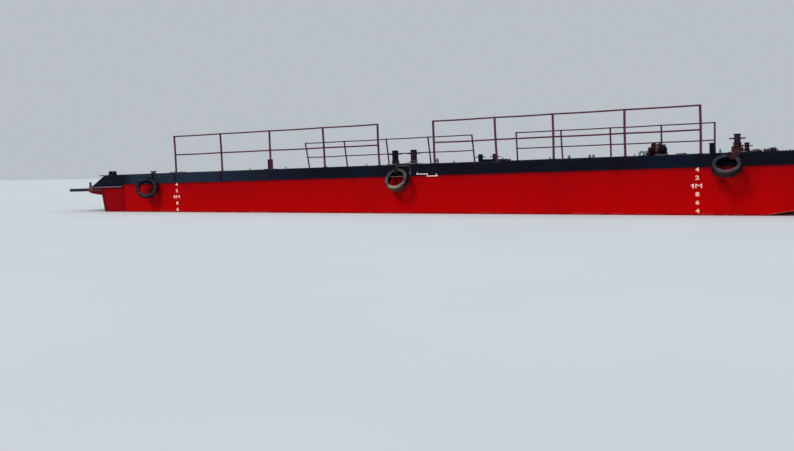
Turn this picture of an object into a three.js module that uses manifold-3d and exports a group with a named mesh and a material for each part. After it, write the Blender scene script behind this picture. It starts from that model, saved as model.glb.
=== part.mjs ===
// A flat-decked steel river barge, in millimetres, +X to the raked bow, +Y to port, +Z up.
// Lengthwise places are stations: distances from amidships, halfway between the two columns of
// draught numerals. The whole group is shifted at the end so that the origin lies under the
// middle of the overall box.
import * as THREE from 'three';
import { mergeVertices } from 'three/addons/utils/BufferGeometryUtils.js';
import Module from 'manifold-3d';

const wasm = await Module();
wasm.setup();

// Hull
const halfBeam = 4267;
const depth = 1829;
const deckPlate = 10;
const hullTop = depth - deckPlate;
const bottomFore = 7320;
const bottomAft = -9300;
const bowX = 13394;
const bowFoot = 990;
const transomX = -11135;
const transomFootX = -10995;
const transomFoot = 500;
const sternCorner = 130;
const deckAft = -11110;
const deckLip = 20;
const slopeTopX = -10860;
const counterX = -11480;
const counterFoot = 1440;
const bilgeRadius = 150;
const headlogPlate = 20;
const headlogDrop = 30;

// Black belt round the deck edge
const beltFoot = 1510;
const beltPlate = 12;
const beltStepX = -10110;

// Stern ledge, platform and skegs
const ledgePlate = 40;
const ledgeAft = -11530;
const ledgeReach = 60;
const ledgeTop = counterFoot;
const platformAft = -12560;
const platformDepth = 100;
const platformHalf = 4200;
const platformTop = ledgeTop - ledgePlate;
const platformFoot = platformTop - platformDepth;
const beamWidth = 70;
const treadPlate = 30;
const bittX = -11700;
const bittY = 4100;
const bittHeight = 200;
const bittRadius = 32;
const bittHead = 30;
const bittHeadRadius = 46;
const kneePlate = 30;
const kneeFoot = 1165;
const kneeNose = { x: -11590, z: 1225 };
const kneeTip = -11730;
const skegY = 2600;
const skegPlate = 60;
const skegFoot = 40;
const skegLead = 300;

// Cargo doubler plate
const cargoAft = -6800;
const cargoFore = 4800;
const cargoHalf = 2300;
const cargoPlate = 12;

// Deck edge line on which the rails stand
const railY = 4177;
const railTop = 1160;
const railMiddle = 573;
const postRadius = 30;
const railRadius = 21;
const footHalf = 55;
const footPlate = 8;

// Fenders
const tyreRadius = 345;
const tyreWidth = 200;
const rimRadius = 225;

// Bollards and posts
const bollardY = 3960;
const bollardRadius = 90;
const bollardHeight = 410;
const bollardPlate = 20;
const bollardPlateReach = 200;
const bollardPlateHalf = 190;
const pinHeight = 300;
const pinReach = 200;
const pinRadius = 16;
const crossHeight = 450;
const crossBarHeight = 335;
const crossBarReach = 185;
const crossBarRadius = 18;
const postPlate = 16;
const postPlateMargin = 60;
const postRadiusSingle = 80;
const capHeight = 18;

// Open chocks
const chockHalf = 150;
const chockWidth = 100;
const chockThroat = 48;
const chockThroatHeight = 74;
const chockY = 4080;

// Hatches
const hatchSide = 630;
const wellSide = 520;
const wellDepth = 600;
const coamingHeight = 50;
const lidPlate = 12;
const lidOverlap = 14;
const lidSkirt = 30;
const skirtPlate = 8;
const skirtShort = 40;
const strapInner = 120;
const strapOuter = 180;
const strapPlate = 12;
const strapShort = 60;
const strapSink = 2;
const knuckleRadius = 22;
const lugInner = 225;
const lugOuter = 240;
const handleX = 190;
const handleHalf = 90;
const handleHeight = 40;
const handleRadius = 8;
const hatchX = 2465;
const hatchY = 3100;

// Vents and manholes
const ventRadius = 38;
const ventBend = 75;
const ventMouthDrop = 50;
const ventPair = 65;
const ventFootPlate = 10;
const manholeRing = 330;
const manholeCover = 285;
const manholePlate = 14;

// Winch, from its own origin on the deck
const winchX = 6470;
const bedPlate = 20;
const drumAxis = 235;
const flangeRadius = 190;
const coreRadius = 110;
const brakeRadius = 150;
const shaftRadius = 25;
const shaftPlay = 0.6;
const shaftEnd = -215;
const shaftNose = 290;
const drumPlay = 6;
const boreSpare = 10;
const bedHalf = 330;
const bedWidth = 480;
const standX = [247, 277];
const standFoot = 150;
const standShoulder = 60;
const runner = { aft: -40, bend: 260, fore: 447, top: 95, nose: 30, thick: 35 };
const gearboxX = -244;
const gearboxFace = -172;
const gearboxHalf = 115;
const gearboxTop = 300;
const stepX = -311;
const stepHalf = 85;
const stepTop = 165;
const crankY = -50;
const crankZ = 190;
const crankShaft = 15;
const crankDrop = 122;
const crankEnd = -218;
const armX = [-345, -329];
const armHalf = 18;
const gripX = -440;
const gripRadius = 14;

const seat = 0.3;
const bladeGap = 1;
const amidshipsToMiddle = (platformAft + bowX + headlogPlate) / 2;

const paint = {
  red: new THREE.MeshStandardMaterial({ name: 'hull_red', color: 0xa0000c, roughness: 0.55 }),
  black: new THREE.MeshStandardMaterial({ name: 'belt_black', color: 0x0c1018, roughness: 0.6 }),
  deck: new THREE.MeshStandardMaterial({ name: 'deck_steel', color: 0x57483f, roughness: 0.85 }),
  rail: new THREE.MeshStandardMaterial({ name: 'rail_red', color: 0x7a2a2c, roughness: 0.6 }),
  ledge: new THREE.MeshStandardMaterial({ name: 'ledge_pale', color: 0xa89c9c, roughness: 0.8 }),
  slate: new THREE.MeshStandardMaterial({ name: 'platform_slate', color: 0x2c4450, roughness: 0.7 }),
  rubber: new THREE.MeshStandardMaterial({ name: 'tyre_rubber', color: 0x1b1b1c, roughness: 0.9 }),
  tar: new THREE.MeshStandardMaterial({ name: 'bollard_black', color: 0x16131a, roughness: 0.6 }),
  rust: new THREE.MeshStandardMaterial({ name: 'winch_rust', color: 0x5d2a20, roughness: 0.9 }),
  steel: new THREE.MeshStandardMaterial({ name: 'worn_steel', color: 0x7d7a76, metalness: 0.7 }),
};

// Solids: closed meshes that can be joined and cut

function solidOf(geometry) {
  geometry.deleteAttribute('normal');
  geometry.deleteAttribute('uv');
  const merged = mergeVertices(geometry, 0.001);
  return new wasm.Manifold(new wasm.Mesh({
    numProp: 3,
    vertProperties: new Float32Array(merged.attributes.position.array),
    triVerts: new Uint32Array(merged.index.array),
  }));
}

function geometryOf(solid) {
  const mesh = solid.getMesh();
  const geometry = new THREE.BufferGeometry();
  geometry.setAttribute('position', new THREE.BufferAttribute(new Float32Array(mesh.vertProperties), 3));
  geometry.setIndex(new THREE.BufferAttribute(new Uint32Array(mesh.triVerts), 1));
  geometry.computeVertexNormals();
  return geometry;
}

function join(solids) {
  return solids.reduce((whole, next) => whole.add(next));
}

function box([x0, x1], [y0, y1], [z0, z1]) {
  const geometry = new THREE.BoxGeometry(x1 - x0, y1 - y0, z1 - z0);
  geometry.translate((x0 + x1) / 2, (y0 + y1) / 2, (z0 + z1) / 2);
  return solidOf(geometry);
}

function shapeOf(points) {
  return new THREE.Shape(points.map(([a, b]) => new THREE.Vector2(a, b)));
}

// A side view, given in x and z, drawn out across the barge from y0 to y1
function acrossBeam(shape, [y0, y1], curveSegments = 12) {
  const geometry = new THREE.ExtrudeGeometry(shape, { depth: y1 - y0, bevelEnabled: false, curveSegments });
  geometry.rotateX(Math.PI / 2);
  geometry.translate(0, y1, 0);
  return solidOf(geometry);
}

// A cross section, given in y and z, drawn out along the barge from x0 to x1
function alongHull(shape, [x0, x1], curveSegments = 8) {
  const geometry = new THREE.ExtrudeGeometry(shape, { depth: x1 - x0, bevelEnabled: false, curveSegments });
  geometry.applyMatrix4(new THREE.Matrix4().makeBasis(
    new THREE.Vector3(0, 1, 0), new THREE.Vector3(0, 0, 1), new THREE.Vector3(1, 0, 0)));
  geometry.translate(x0, 0, 0);
  return solidOf(geometry);
}

// A round bar between two points
function bar(from, to, radius, sides = 12) {
  const a = new THREE.Vector3(...from);
  const b = new THREE.Vector3(...to);
  const run = b.clone().sub(a);
  const geometry = new THREE.CylinderGeometry(radius, radius, run.length(), sides);
  geometry.applyQuaternion(new THREE.Quaternion().setFromUnitVectors(
    new THREE.Vector3(0, 1, 0), run.normalize()));
  geometry.translate((a.x + b.x) / 2, (a.y + b.y) / 2, (a.z + b.z) / 2);
  return solidOf(geometry);
}

// A turned piece: a profile of [radius, height] rows turned about the +Z axis
function turned(profile, sides) {
  const points = profile.map(([radius, height]) => new THREE.Vector2(radius, height));
  const geometry = new THREE.LatheGeometry(points, sides);
  geometry.rotateX(Math.PI / 2);
  return geometry;
}

function piece(name, solid, material, group) {
  const geometry = solid.isBufferGeometry ? solid : geometryOf(solid);
  const mesh = new THREE.Mesh(geometry, material);
  mesh.name = name;
  group.add(mesh);
  return mesh;
}

// Sides of the barge: the name and the sign of y
const sides = [['starboard', -1], ['port', 1]];

function span(sign, near, far) {
  return sign < 0 ? [-far, -near] : [near, far];
}

// Hull, deck and belt

function midshipSection() {
  const shape = new THREE.Shape();
  const r = bilgeRadius;
  shape.moveTo(-halfBeam + r, 0);
  shape.lineTo(halfBeam - r, 0);
  shape.absarc(halfBeam - r, r, r, -Math.PI / 2, 0, false);
  shape.lineTo(halfBeam, depth);
  shape.lineTo(-halfBeam, depth);
  shape.absarc(-halfBeam + r, r, r, Math.PI, Math.PI * 1.5, false);
  return shape;
}

function sideOutline() {
  return shapeOf([
    [bottomAft, 0], [bottomFore, 0], [bowX, bowFoot], [bowX, hullTop], [slopeTopX, hullTop],
    [counterX, counterFoot], [transomX, counterFoot], [transomX, platformFoot], [transomFootX, transomFoot],
  ]);
}

// What the rounded upright corners of the transom take off: a square less a quarter disc, drawn up
// from the bottom and leant with the transom
function cornerCut(sign) {
  const lean = (transomX - transomFootX) / (platformFoot - transomFoot);
  const x = transomFootX - transomFoot * lean - bladeGap;
  const y = halfBeam + bladeGap;
  const shape = new THREE.Shape();
  shape.moveTo(x, y);
  shape.lineTo(x, y - sternCorner);
  shape.absarc(x + sternCorner, y - sternCorner, sternCorner, Math.PI, Math.PI / 2, true);
  const geometry = new THREE.ExtrudeGeometry(shape, {
    depth: platformTop - seat, bevelEnabled: false, curveSegments: 6,
  });
  geometry.applyMatrix4(new THREE.Matrix4().makeShear(0, 0, 0, 0, lean, 0));
  const cut = solidOf(geometry);
  return sign < 0 ? cut.mirror([0, 1, 0]) : cut;
}

function hatchWells() {
  const half = wellSide / 2;
  return sides.map(([, sign]) => box(
    [hatchX - half, hatchX + half],
    [sign * hatchY - half, sign * hatchY + half],
    [depth - wellDepth, depth + coamingHeight]));
}

// Knees under the stern platform, at the y of each platform beam
const beamPlaces = [-1, -0.5, 0, 0.5, 1].map((share) => share * (platformHalf - beamWidth / 2));

function hullSolid(wells) {
  const root = transomX + 2 * kneePlate;
  const knee = shapeOf([[root, kneeFoot], [root, platformFoot], [kneeTip, platformFoot],
    [kneeNose.x, kneeNose.z], [transomX, kneeFoot]]);
  const knees = beamPlaces.map((y) => acrossBeam(knee, [y - kneePlate / 2, y + kneePlate / 2]));
  const shell = acrossBeam(sideOutline(), [-halfBeam, halfBeam])
    .intersect(alongHull(midshipSection(), [counterX - 10, bowX + 10]))
    .subtract(join(sides.map(([, sign]) => cornerCut(sign))));
  return join([shell, ...knees]).subtract(join(wells));
}

// The x of the sloping stern at a height, moved out square to the slope
function slopeAt(height, out = 0) {
  const drop = hullTop - counterFoot;
  const run = slopeTopX - counterX;
  return slopeTopX - ((hullTop - height) * run + out * Math.hypot(run, drop)) / drop;
}

function beltOutline() {
  return shapeOf([
    [bowX, beltFoot], [bowX, depth], [slopeAt(depth), depth],
    [counterX, counterFoot], [beltStepX, counterFoot], [beltStepX, beltFoot],
  ]);
}

// The sloping plate, with the lip that carries the deck's overhang
function slopePlate() {
  const top = hullTop - seat;
  const foot = counterFoot + seat;
  return shapeOf([
    [deckAft, top], [deckAft, top - deckLip], [slopeAt(top - deckLip, beltPlate), top - deckLip],
    [slopeAt(foot, beltPlate), foot], [slopeAt(foot, seat), foot], [slopeAt(top, seat), top],
  ]);
}

// Stern ledge, platform and skegs

function ledgeSolid() {
  const across = box([ledgeAft, transomX], [-halfBeam - ledgeReach, halfBeam + ledgeReach],
    [platformTop, ledgeTop]);
  const wings = sides.map(([, sign]) => box([transomX - ledgePlate, beltStepX],
    span(sign, halfBeam, halfBeam + ledgeReach), [platformTop, ledgeTop]));
  return join([across, ...wings]);
}

// A stub post with a round head at each outer corner of the platform
function bitt(sign) {
  const y = sign * bittY;
  const top = platformTop + bittHeight;
  return join([
    bar([bittX, y, platformFoot], [bittX, y, top - bittHead / 2], bittRadius, 16),
    bar([bittX, y, top - bittHead], [bittX, y, top], bittHeadRadius, 16),
  ]);
}

function platformSolid() {
  const height = [platformFoot, platformTop];
  const beams = beamPlaces.map((y) => box([platformAft, transomX],
    [y - beamWidth / 2, y + beamWidth / 2], height));
  const endBeam = box([platformAft, platformAft + beamWidth], [-platformHalf, platformHalf], height);
  const tread = box([platformAft, ledgeAft - 10], [-platformHalf, platformHalf],
    [platformTop - treadPlate, platformTop]);
  return join([...beams, endBeam, tread, ...sides.map(([, sign]) => bitt(sign))]);
}

function skegOutline() {
  const rise = transomFoot / (bottomAft - transomFootX);
  const rakeAt = (x) => (bottomAft - x) * rise - 2 * seat;
  const tip = bottomAft - skegLead;
  const end = transomFootX + skegPlate;
  return shapeOf([[tip, skegFoot], [tip, rakeAt(tip)], [end, rakeAt(end)], [end, skegFoot]]);
}

// Rails: one section of five leaning posts carries a top and a middle rail

// Columns: side, end of the barge, sign of y, then one [foot, head] pair of stations a post
const railSections = [
  ['starboard', 'aft', -1, [[-7930, -7950], [-6120, -6145], [-4310, -4330], [-2445, -2480], [-665, -690]]],
  ['starboard', 'fore', -1, [[1030, 1010], [2820, 2775], [4350, 4340], [6160, 6150], [7930, 7920]]],
  ['port', 'aft', 1, [[-7840, -8020], [-6060, -6190], [-4185, -4300], [-2395, -2510], [-610, -710]]],
  ['port', 'fore', 1, [[1060, 1020], [2750, 2690], [4460, 4440], [6165, 6160], [7885, 7880]]],
];

function railSolid(sign, posts) {
  const y = sign * railY;
  const headOf = ([, head]) => [head, y, depth + railTop];
  const middleOf = ([foot, head]) => [foot + (head - foot) * railMiddle / railTop, y, depth + railMiddle];
  const parts = [];
  for (const post of posts) {
    parts.push(bar([post[0], y, depth + footPlate - 1], headOf(post), postRadius, 10));
    parts.push(box([post[0] - footHalf, post[0] + footHalf], [y - footHalf, y + footHalf],
      [depth, depth + footPlate]));
  }
  for (let i = 1; i < posts.length; i += 1) {
    parts.push(bar(headOf(posts[i - 1]), headOf(posts[i]), railRadius, 8));
    parts.push(bar(middleOf(posts[i - 1]), middleOf(posts[i]), railRadius, 8));
  }
  return join(parts);
}

// Fenders: old tyres with an open inside, hung against the belt

// Rows of [radius, offset from the middle plane], outer skin then inner skin
function tyreProfile() {
  const half = tyreWidth / 2;
  const outer = [[rimRadius, -half * 0.7], [rimRadius + 60, -half], [tyreRadius - 30, -half * 0.94],
    [tyreRadius, -half * 0.55]];
  const inner = [[tyreRadius - 22, half * 0.5], [rimRadius + 70, half * 0.8], [rimRadius + 4, half * 0.52]];
  const mirrored = (rows) => rows.map(([radius, offset]) => [radius, -offset]).reverse();
  const ring = [...outer, ...mirrored(outer), ...inner.slice().reverse(), ...mirrored(inner).reverse()];
  return [...ring, ring[0]];
}

// Columns: name, station, height of the centre, then in degrees the lean of the foot away from the
// side and the turn of the face towards the bow, and how far the tyre reaches in under the belt
const fenderPlaces = [
  ['aft', -8850, 1358, 20, 35, 6.4],
  ['middle', 20, 1400, 32, 0, 0],
  ['fore', 8520, 1512, 50, 0, 0],
];

function tyre(name, sign, [, station, height, lean, twist, under], group) {
  const geometry = turned(tyreProfile(), 24);
  geometry.rotateX(-sign * (Math.PI / 2 - THREE.MathUtils.degToRad(lean)));
  geometry.rotateZ(-sign * THREE.MathUtils.degToRad(twist));
  geometry.computeBoundingBox();
  const reach = sign < 0 ? geometry.boundingBox.max.y : -geometry.boundingBox.min.y;
  geometry.translate(station, sign * (halfBeam + beltPlate + seat + reach - under), height);
  return piece(name, solidOf(geometry), paint.rubber, group);
}

// Bollards and posts, each standing on a plate

function pipePost(x, y, radius, height) {
  const cap = new THREE.CylinderGeometry(radius - capHeight, radius, capHeight, 20);
  cap.rotateX(Math.PI / 2);
  cap.translate(x, y, depth + height - capHeight / 2);
  return join([bar([x, y, depth + footPlate], [x, y, depth + height - capHeight], radius, 20), solidOf(cap)]);
}

function crossPin(x, y, height, reach, radius) {
  return bar([x - reach, y, depth + height], [x + reach, y, depth + height], radius, 10);
}

function basePlate([x0, x1], y, half, thick) {
  return box([x0, x1], [y - half, y + half], [depth, depth + thick]);
}

function twinBollard(sign, stations) {
  const y = sign * bollardY;
  const [aft, fore] = stations;
  const plate = basePlate([aft - bollardPlateReach, fore + bollardPlateReach], y,
    bollardPlateHalf, bollardPlate);
  const posts = stations.map((x) => join([
    pipePost(x, y, bollardRadius, bollardHeight),
    crossPin(x, y, pinHeight, pinReach, pinRadius),
  ]));
  return join([plate, ...posts]);
}

function crossBollard(x, sign) {
  const y = sign * bollardY;
  return join([
    basePlate([x - bollardPlateReach, x + bollardPlateReach], y, bollardPlateHalf, bollardPlate),
    pipePost(x, y, bollardRadius, crossHeight),
    crossPin(x, y, crossBarHeight, crossBarReach, crossBarRadius),
  ]);
}

function singlePost(x, y, height) {
  const reach = postRadiusSingle + postPlateMargin;
  return join([
    basePlate([x - reach, x + reach], y, reach, postPlate),
    pipePost(x, y, postRadiusSingle, height),
  ]);
}

// An open horn chock: a block with a round throat, a narrow mouth above it and two rounded horns
function chock(x, y) {
  const mouth = Math.asin(0.45);
  const horn = { x: 88, z: 88, radius: 42, turn: Math.PI * 0.6 };
  const shoulder = { x: chockHalf - 20, z: 60 };
  const shape = new THREE.Shape();
  shape.moveTo(-chockHalf, 0);
  shape.lineTo(chockHalf, 0);
  shape.lineTo(shoulder.x, shoulder.z);
  shape.absarc(horn.x, horn.z, horn.radius, 0, horn.turn, false);
  shape.absarc(0, chockThroatHeight, chockThroat, Math.PI / 2 - mouth, Math.PI / 2 + mouth, true);
  shape.absarc(-horn.x, horn.z, horn.radius, Math.PI - horn.turn, Math.PI, false);
  shape.lineTo(-shoulder.x, shoulder.z);
  const solid = acrossBeam(shape, [-chockWidth / 2, chockWidth / 2]);
  return solid.translate([x, y, depth]);
}

// Hatches: a low coaming round a well, and a lid that turns on a rod at its aft edge

const hingeX = hatchX - hatchSide / 2 - 32;
const hingeZ = depth + coamingHeight + lidPlate;
const hingeRod = 9;
const hingePlay = 0.5;

function coamingSolid(y) {
  const half = hatchSide / 2;
  const clear = wellSide / 2;
  const ring = box([hatchX - half, hatchX + half], [y - half, y + half], [depth, depth + coamingHeight])
    .subtract(box([hatchX - clear, hatchX + clear], [y - clear, y + clear],
      [depth - bladeGap, depth + coamingHeight + bladeGap]));
  const lugs = [-1, 1].map((end) => box([hingeX - 2 * hingeRod, hatchX - half],
    span(end, lugInner, lugOuter).map((place) => place + y), [depth, hingeZ + lidOverlap]));
  const rod = bar([hingeX, y - lugOuter, hingeZ], [hingeX, y + lugOuter, hingeZ], hingeRod, 16);
  return join([ring, ...lugs, rod]);
}

function lidSolid(y) {
  const aft = hatchX - hatchSide / 2;
  const fore = hatchX + hatchSide / 2 + lidOverlap;
  const half = hatchSide / 2 + lidOverlap;
  const foot = depth + coamingHeight + seat;
  const top = foot + lidPlate;
  const skirtHeight = [foot - lidSkirt, top];
  const plate = box([aft + skirtPlate, fore], [y - half, y + half], [foot, top]);
  const skirts = [
    box([fore - skirtPlate, fore], [y - half, y + half], skirtHeight),
    ...[-1, 1].map((end) => box([aft + skirtShort, fore],
      span(end, half - skirtPlate, half).map((place) => place + y), skirtHeight)),
  ];
  const hinges = [-1, 1].flatMap((end) => {
    const [y0, y1] = span(end, strapInner, strapOuter).map((place) => place + y);
    return [
      box([hingeX, hatchX - strapShort], [y0, y1], [top - strapSink, top + strapPlate]),
      bar([hingeX, y0, hingeZ], [hingeX, y1, hingeZ], knuckleRadius, 20),
    ];
  });
  const bore = bar([hingeX, y - lugInner, hingeZ], [hingeX, y + lugInner, hingeZ], hingeRod + hingePlay, 16);
  const grip = hatchX + handleX;
  const legs = [-1, 1].map((end) => bar([grip, y + end * handleHalf, top - strapSink],
    [grip, y + end * handleHalf, top + handleHeight], handleRadius, 8));
  const hold = bar([grip, y - handleHalf - handleRadius, top + handleHeight],
    [grip, y + handleHalf + handleRadius, top + handleHeight], handleRadius, 8);
  return join([plate, ...skirts, ...hinges, ...legs, hold]).subtract(bore);
}

// Vents and manholes

// A bent pipe whose mouth looks down, bent towards the bow or else towards the middle line
function gooseneck(x, y, height, toBow = false) {
  const path = new THREE.CurvePath();
  const top = depth + height - ventBend - ventRadius;
  const [along, across] = toBow ? [1, 0] : [0, -Math.sign(y)];
  path.add(new THREE.LineCurve3(new THREE.Vector3(x, y, depth), new THREE.Vector3(x, y, top)));
  const steps = 8;
  const corner = Array.from({ length: steps + 1 }, (_, step) => {
    const angle = Math.PI * step / steps;
    const out = ventBend * (1 - Math.cos(angle));
    return new THREE.Vector3(x + out * along, y + out * across, top + ventBend * Math.sin(angle));
  });
  path.add(new THREE.CatmullRomCurve3(corner));
  const mouth = corner[steps];
  path.add(new THREE.LineCurve3(mouth, new THREE.Vector3(mouth.x, mouth.y, mouth.z - ventMouthDrop)));
  const ring = new THREE.Shape().absarc(0, 0, ventRadius, 0, Math.PI * 2);
  return solidOf(new THREE.ExtrudeGeometry(ring, { steps: 18, curveSegments: 5, extrudePath: path }));
}

// Two goosenecks side by side on one plate
function pairedVent(x, y, height) {
  const reach = ventPair + ventRadius + ventFootPlate;
  return join([
    box([x - reach, x + reach], [y - reach / 2, y + reach / 2], [depth, depth + ventFootPlate]),
    gooseneck(x - ventPair, y, height),
    gooseneck(x + ventPair, y, height),
  ]);
}

function mushroomVent(x, y) {
  const foot = [[0, 0], [70, 0], [70, 8]];
  const pipe = [[44, 12], [44, 130], [50, 140]];
  const cap = [[118, 140], [122, 158], [100, 188], [60, 206], [0, 212]];
  const profile = [...foot, ...pipe, ...cap];
  const geometry = turned(profile, 24);
  geometry.translate(x, y, depth);
  return geometry;
}

function manhole(x, y) {
  return join([
    bar([x, y, depth], [x, y, depth + manholePlate], manholeRing, 32),
    bar([x, y, depth + manholePlate], [x, y, depth + 2 * manholePlate], manholeCover, 32),
  ]);
}

// Hand winch with a geared drum

// A triangular bearing stand, given in y and z
function standOutline() {
  const shape = new THREE.Shape();
  shape.moveTo(-standFoot, 0);
  shape.lineTo(standFoot, 0);
  shape.lineTo(standShoulder, drumAxis);
  shape.absarc(0, drumAxis, standShoulder, 0, Math.PI, false);
  return shape;
}

// A side runner, given in x and z: level under the drum, then falling away to the front
function runnerOutline() {
  const { aft, bend, fore, top, nose } = runner;
  return shapeOf([[aft, 0], [fore, 0], [fore, nose], [bend, top], [aft, top]]);
}

function winchFrame() {
  const plate = box([-bedHalf, bedHalf], [-bedWidth / 2, bedWidth / 2], [0, bedPlate]);
  const stand = alongHull(standOutline(), standX, 8);
  const runners = sides.map(([, sign]) => acrossBeam(runnerOutline(),
    span(sign, bedWidth / 2 - runner.thick, bedWidth / 2)));
  const bore = bar([standX[0] - bladeGap, 0, drumAxis], [standX[1] + bladeGap, 0, drumAxis],
    shaftRadius + shaftPlay, 32);
  return join([plate, stand, ...runners]).subtract(bore);
}

function winchGearbox() {
  const foot = bedPlate + seat;
  const body = box([gearboxX, gearboxFace], [-gearboxHalf, gearboxHalf], [foot, gearboxTop]);
  const step = box([stepX, gearboxX], [-stepHalf, stepHalf], [foot, stepTop]);
  const drumBore = bar([shaftEnd - boreSpare, 0, drumAxis], [gearboxFace + bladeGap, 0, drumAxis],
    shaftRadius + shaftPlay, 32);
  const crankBore = bar([gearboxX - bladeGap, crankY, crankZ], [crankEnd + boreSpare, crankY, crankZ],
    crankShaft + shaftPlay, 24);
  return join([body, step]).subtract(join([drumBore, crankBore]));
}

// The drum turns as one: shaft, gear wheel, core, flange and brake drum. Rows of [radius, place]
function winchDrum() {
  const wheel = { back: -156, front: -34, bevel: 15 };
  const flange = { back: 50, front: 118 };
  const brake = { back: 125, front: 235 };
  const hub = { radius: 60, front: standX[0] - drumPlay };
  const profile = [
    [0, shaftEnd], [shaftRadius, shaftEnd], [shaftRadius, wheel.back],
    [flangeRadius - wheel.bevel, wheel.back], [flangeRadius, wheel.back + wheel.bevel],
    [flangeRadius, wheel.front], [coreRadius, wheel.front], [coreRadius, flange.back],
    [flangeRadius, flange.back], [flangeRadius, flange.front], [brakeRadius, brake.back],
    [brakeRadius, brake.front], [hub.radius, brake.front], [hub.radius, hub.front],
    [shaftRadius, hub.front], [shaftRadius, shaftNose], [0, shaftNose],
  ];
  const geometry = turned(profile, 36);
  geometry.rotateY(Math.PI / 2);
  geometry.translate(0, 0, drumAxis);
  return solidOf(geometry);
}

function winchCrank() {
  const gripZ = crankZ - crankDrop;
  return join([
    bar([crankEnd, crankY, crankZ], [armX[0], crankY, crankZ], crankShaft, 24),
    box(armX, [crankY - armHalf, crankY + armHalf], [gripZ - armHalf, crankZ + armHalf]),
    bar([armX[0] + bladeGap, crankY, gripZ], [gripX, crankY, gripZ], gripRadius, 12),
  ]);
}

function inWinchPlace(solid) {
  const geometry = geometryOf(solid);
  geometry.translate(winchX, 0, depth);
  return geometry;
}

// The whole barge

const barge = new THREE.Group();
const hullGroup = new THREE.Group();
const railGroup = new THREE.Group();
const fenderGroup = new THREE.Group();
const mooringGroup = new THREE.Group();
const deckGroup = new THREE.Group();
const winchGroup = new THREE.Group();
barge.add(hullGroup, railGroup, fenderGroup, mooringGroup, deckGroup, winchGroup);

const wells = hatchWells();
piece('hull', hullSolid(wells), paint.red, hullGroup);
piece('main_deck', box([deckAft, bowX], [-halfBeam, halfBeam], [hullTop, depth]).subtract(join(wells)),
  paint.deck, hullGroup);
for (const [side, sign] of sides) {
  piece(`belt_${side}`, acrossBeam(beltOutline(), span(sign, halfBeam, halfBeam + beltPlate)),
    paint.black, hullGroup);
  piece(`skeg_${side}`, acrossBeam(skegOutline(), span(sign, skegY, skegY + skegPlate)),
    paint.red, hullGroup);
}
piece('headlog', box([bowX, bowX + headlogPlate], [-halfBeam - beltPlate, halfBeam + beltPlate],
  [bowFoot - headlogDrop, depth]), paint.black, hullGroup);
piece('stern_slope_plate', acrossBeam(slopePlate(), [-halfBeam, halfBeam]), paint.black, hullGroup);
piece('stern_ledge', ledgeSolid(), paint.ledge, hullGroup);
piece('stern_platform', platformSolid(), paint.slate, hullGroup);
piece('cargo_plate', box([cargoAft, cargoFore], [-cargoHalf, cargoHalf], [depth, depth + cargoPlate]),
  paint.deck, hullGroup);

for (const [side, end, sign, posts] of railSections) {
  piece(`rail_${side}_${end}`, railSolid(sign, posts), paint.rail, railGroup);
}

for (const place of fenderPlaces) {
  for (const [side, sign] of sides) {
    tyre(`fender_${place[0]}_${side}`, sign, place, fenderGroup);
  }
}

piece('twin_bollard_starboard', twinBollard(-1, [-259, 314]), paint.tar, mooringGroup);
piece('twin_bollard_port', twinBollard(1, [-310, 255]), paint.tar, mooringGroup);
piece('cross_bollard_starboard', crossBollard(8740, -1), paint.tar, mooringGroup);
piece('cross_bollard_port', crossBollard(8870, 1), paint.tar, mooringGroup);
piece('mooring_post_port', singlePost(7800, 3900, 480), paint.tar, mooringGroup);
piece('mooring_post_starboard', singlePost(-4480, -3960, 310), paint.rust, mooringGroup);
for (const [side, sign] of sides) {
  piece(`chock_stern_${side}`, chock(-10700, sign * chockY), paint.tar, mooringGroup);
  piece(`chock_bow_${side}`, chock(12850, sign * chockY), paint.tar, mooringGroup);
}

for (const [side, sign] of sides) {
  piece(`hatch_coaming_${side}`, coamingSolid(sign * hatchY), paint.tar, deckGroup);
  piece(`hatch_lid_${side}`, lidSolid(sign * hatchY), paint.tar, deckGroup);
}

// Columns: name, kind, station, height and, for a single pipe, whether it bends to the bow
const ventY = 3900;
const vents = [
  ['aft', gooseneck, -2010, 330, false],
  ['middle', gooseneck, 3046, 255, false],
  ['fore', pairedVent, 3840, 250],
  ['bow', gooseneck, 5467, 310, true],
  ['nose', gooseneck, 8059, 275, false],
];
for (const [name, kind, x, height, toBow] of vents) {
  piece(`vent_${name}`, kind(x, ventY, height, toBow), paint.tar, deckGroup);
}
piece('mushroom_vent', mushroomVent(10800, 0), paint.red, deckGroup);

// Columns: end of the barge, station, distance off the middle line
const manholes = [['aft', -8900, 2900], ['fore', 9800, 2200]];
for (const [end, x, off] of manholes) {
  for (const [side, sign] of sides) {
    piece(`manhole_${end}_${side}`, manhole(x, sign * off), paint.rust, deckGroup);
  }
}

piece('winch_frame', inWinchPlace(winchFrame()), paint.tar, winchGroup);
piece('winch_gearbox', inWinchPlace(winchGearbox()), paint.rust, winchGroup);
piece('winch_drum', inWinchPlace(winchDrum()), paint.rust, winchGroup);
piece('winch_crank', inWinchPlace(winchCrank()), paint.steel, winchGroup);

barge.position.x = -amidshipsToMiddle;

export default barge;
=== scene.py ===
"""The looks of a flat-decked steel river barge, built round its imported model.

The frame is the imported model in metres: +X along the barge to its raked bow, +Y to port and +Z up. Places
along the barge are stations, counted from amidships as on its drawings, and on_frame turns a station
into the frame's x. The barge floats a little down by the stern, so the studio floor leans with the water.
"""

from __future__ import annotations

import contextlib
import functools
import logging
import math
import random
from collections.abc import Callable, Iterable, Iterator, Sequence
from dataclasses import dataclass
from enum import Enum

import bmesh
import bpy
import numpy as np
from mathutils import Matrix, Vector


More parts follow.
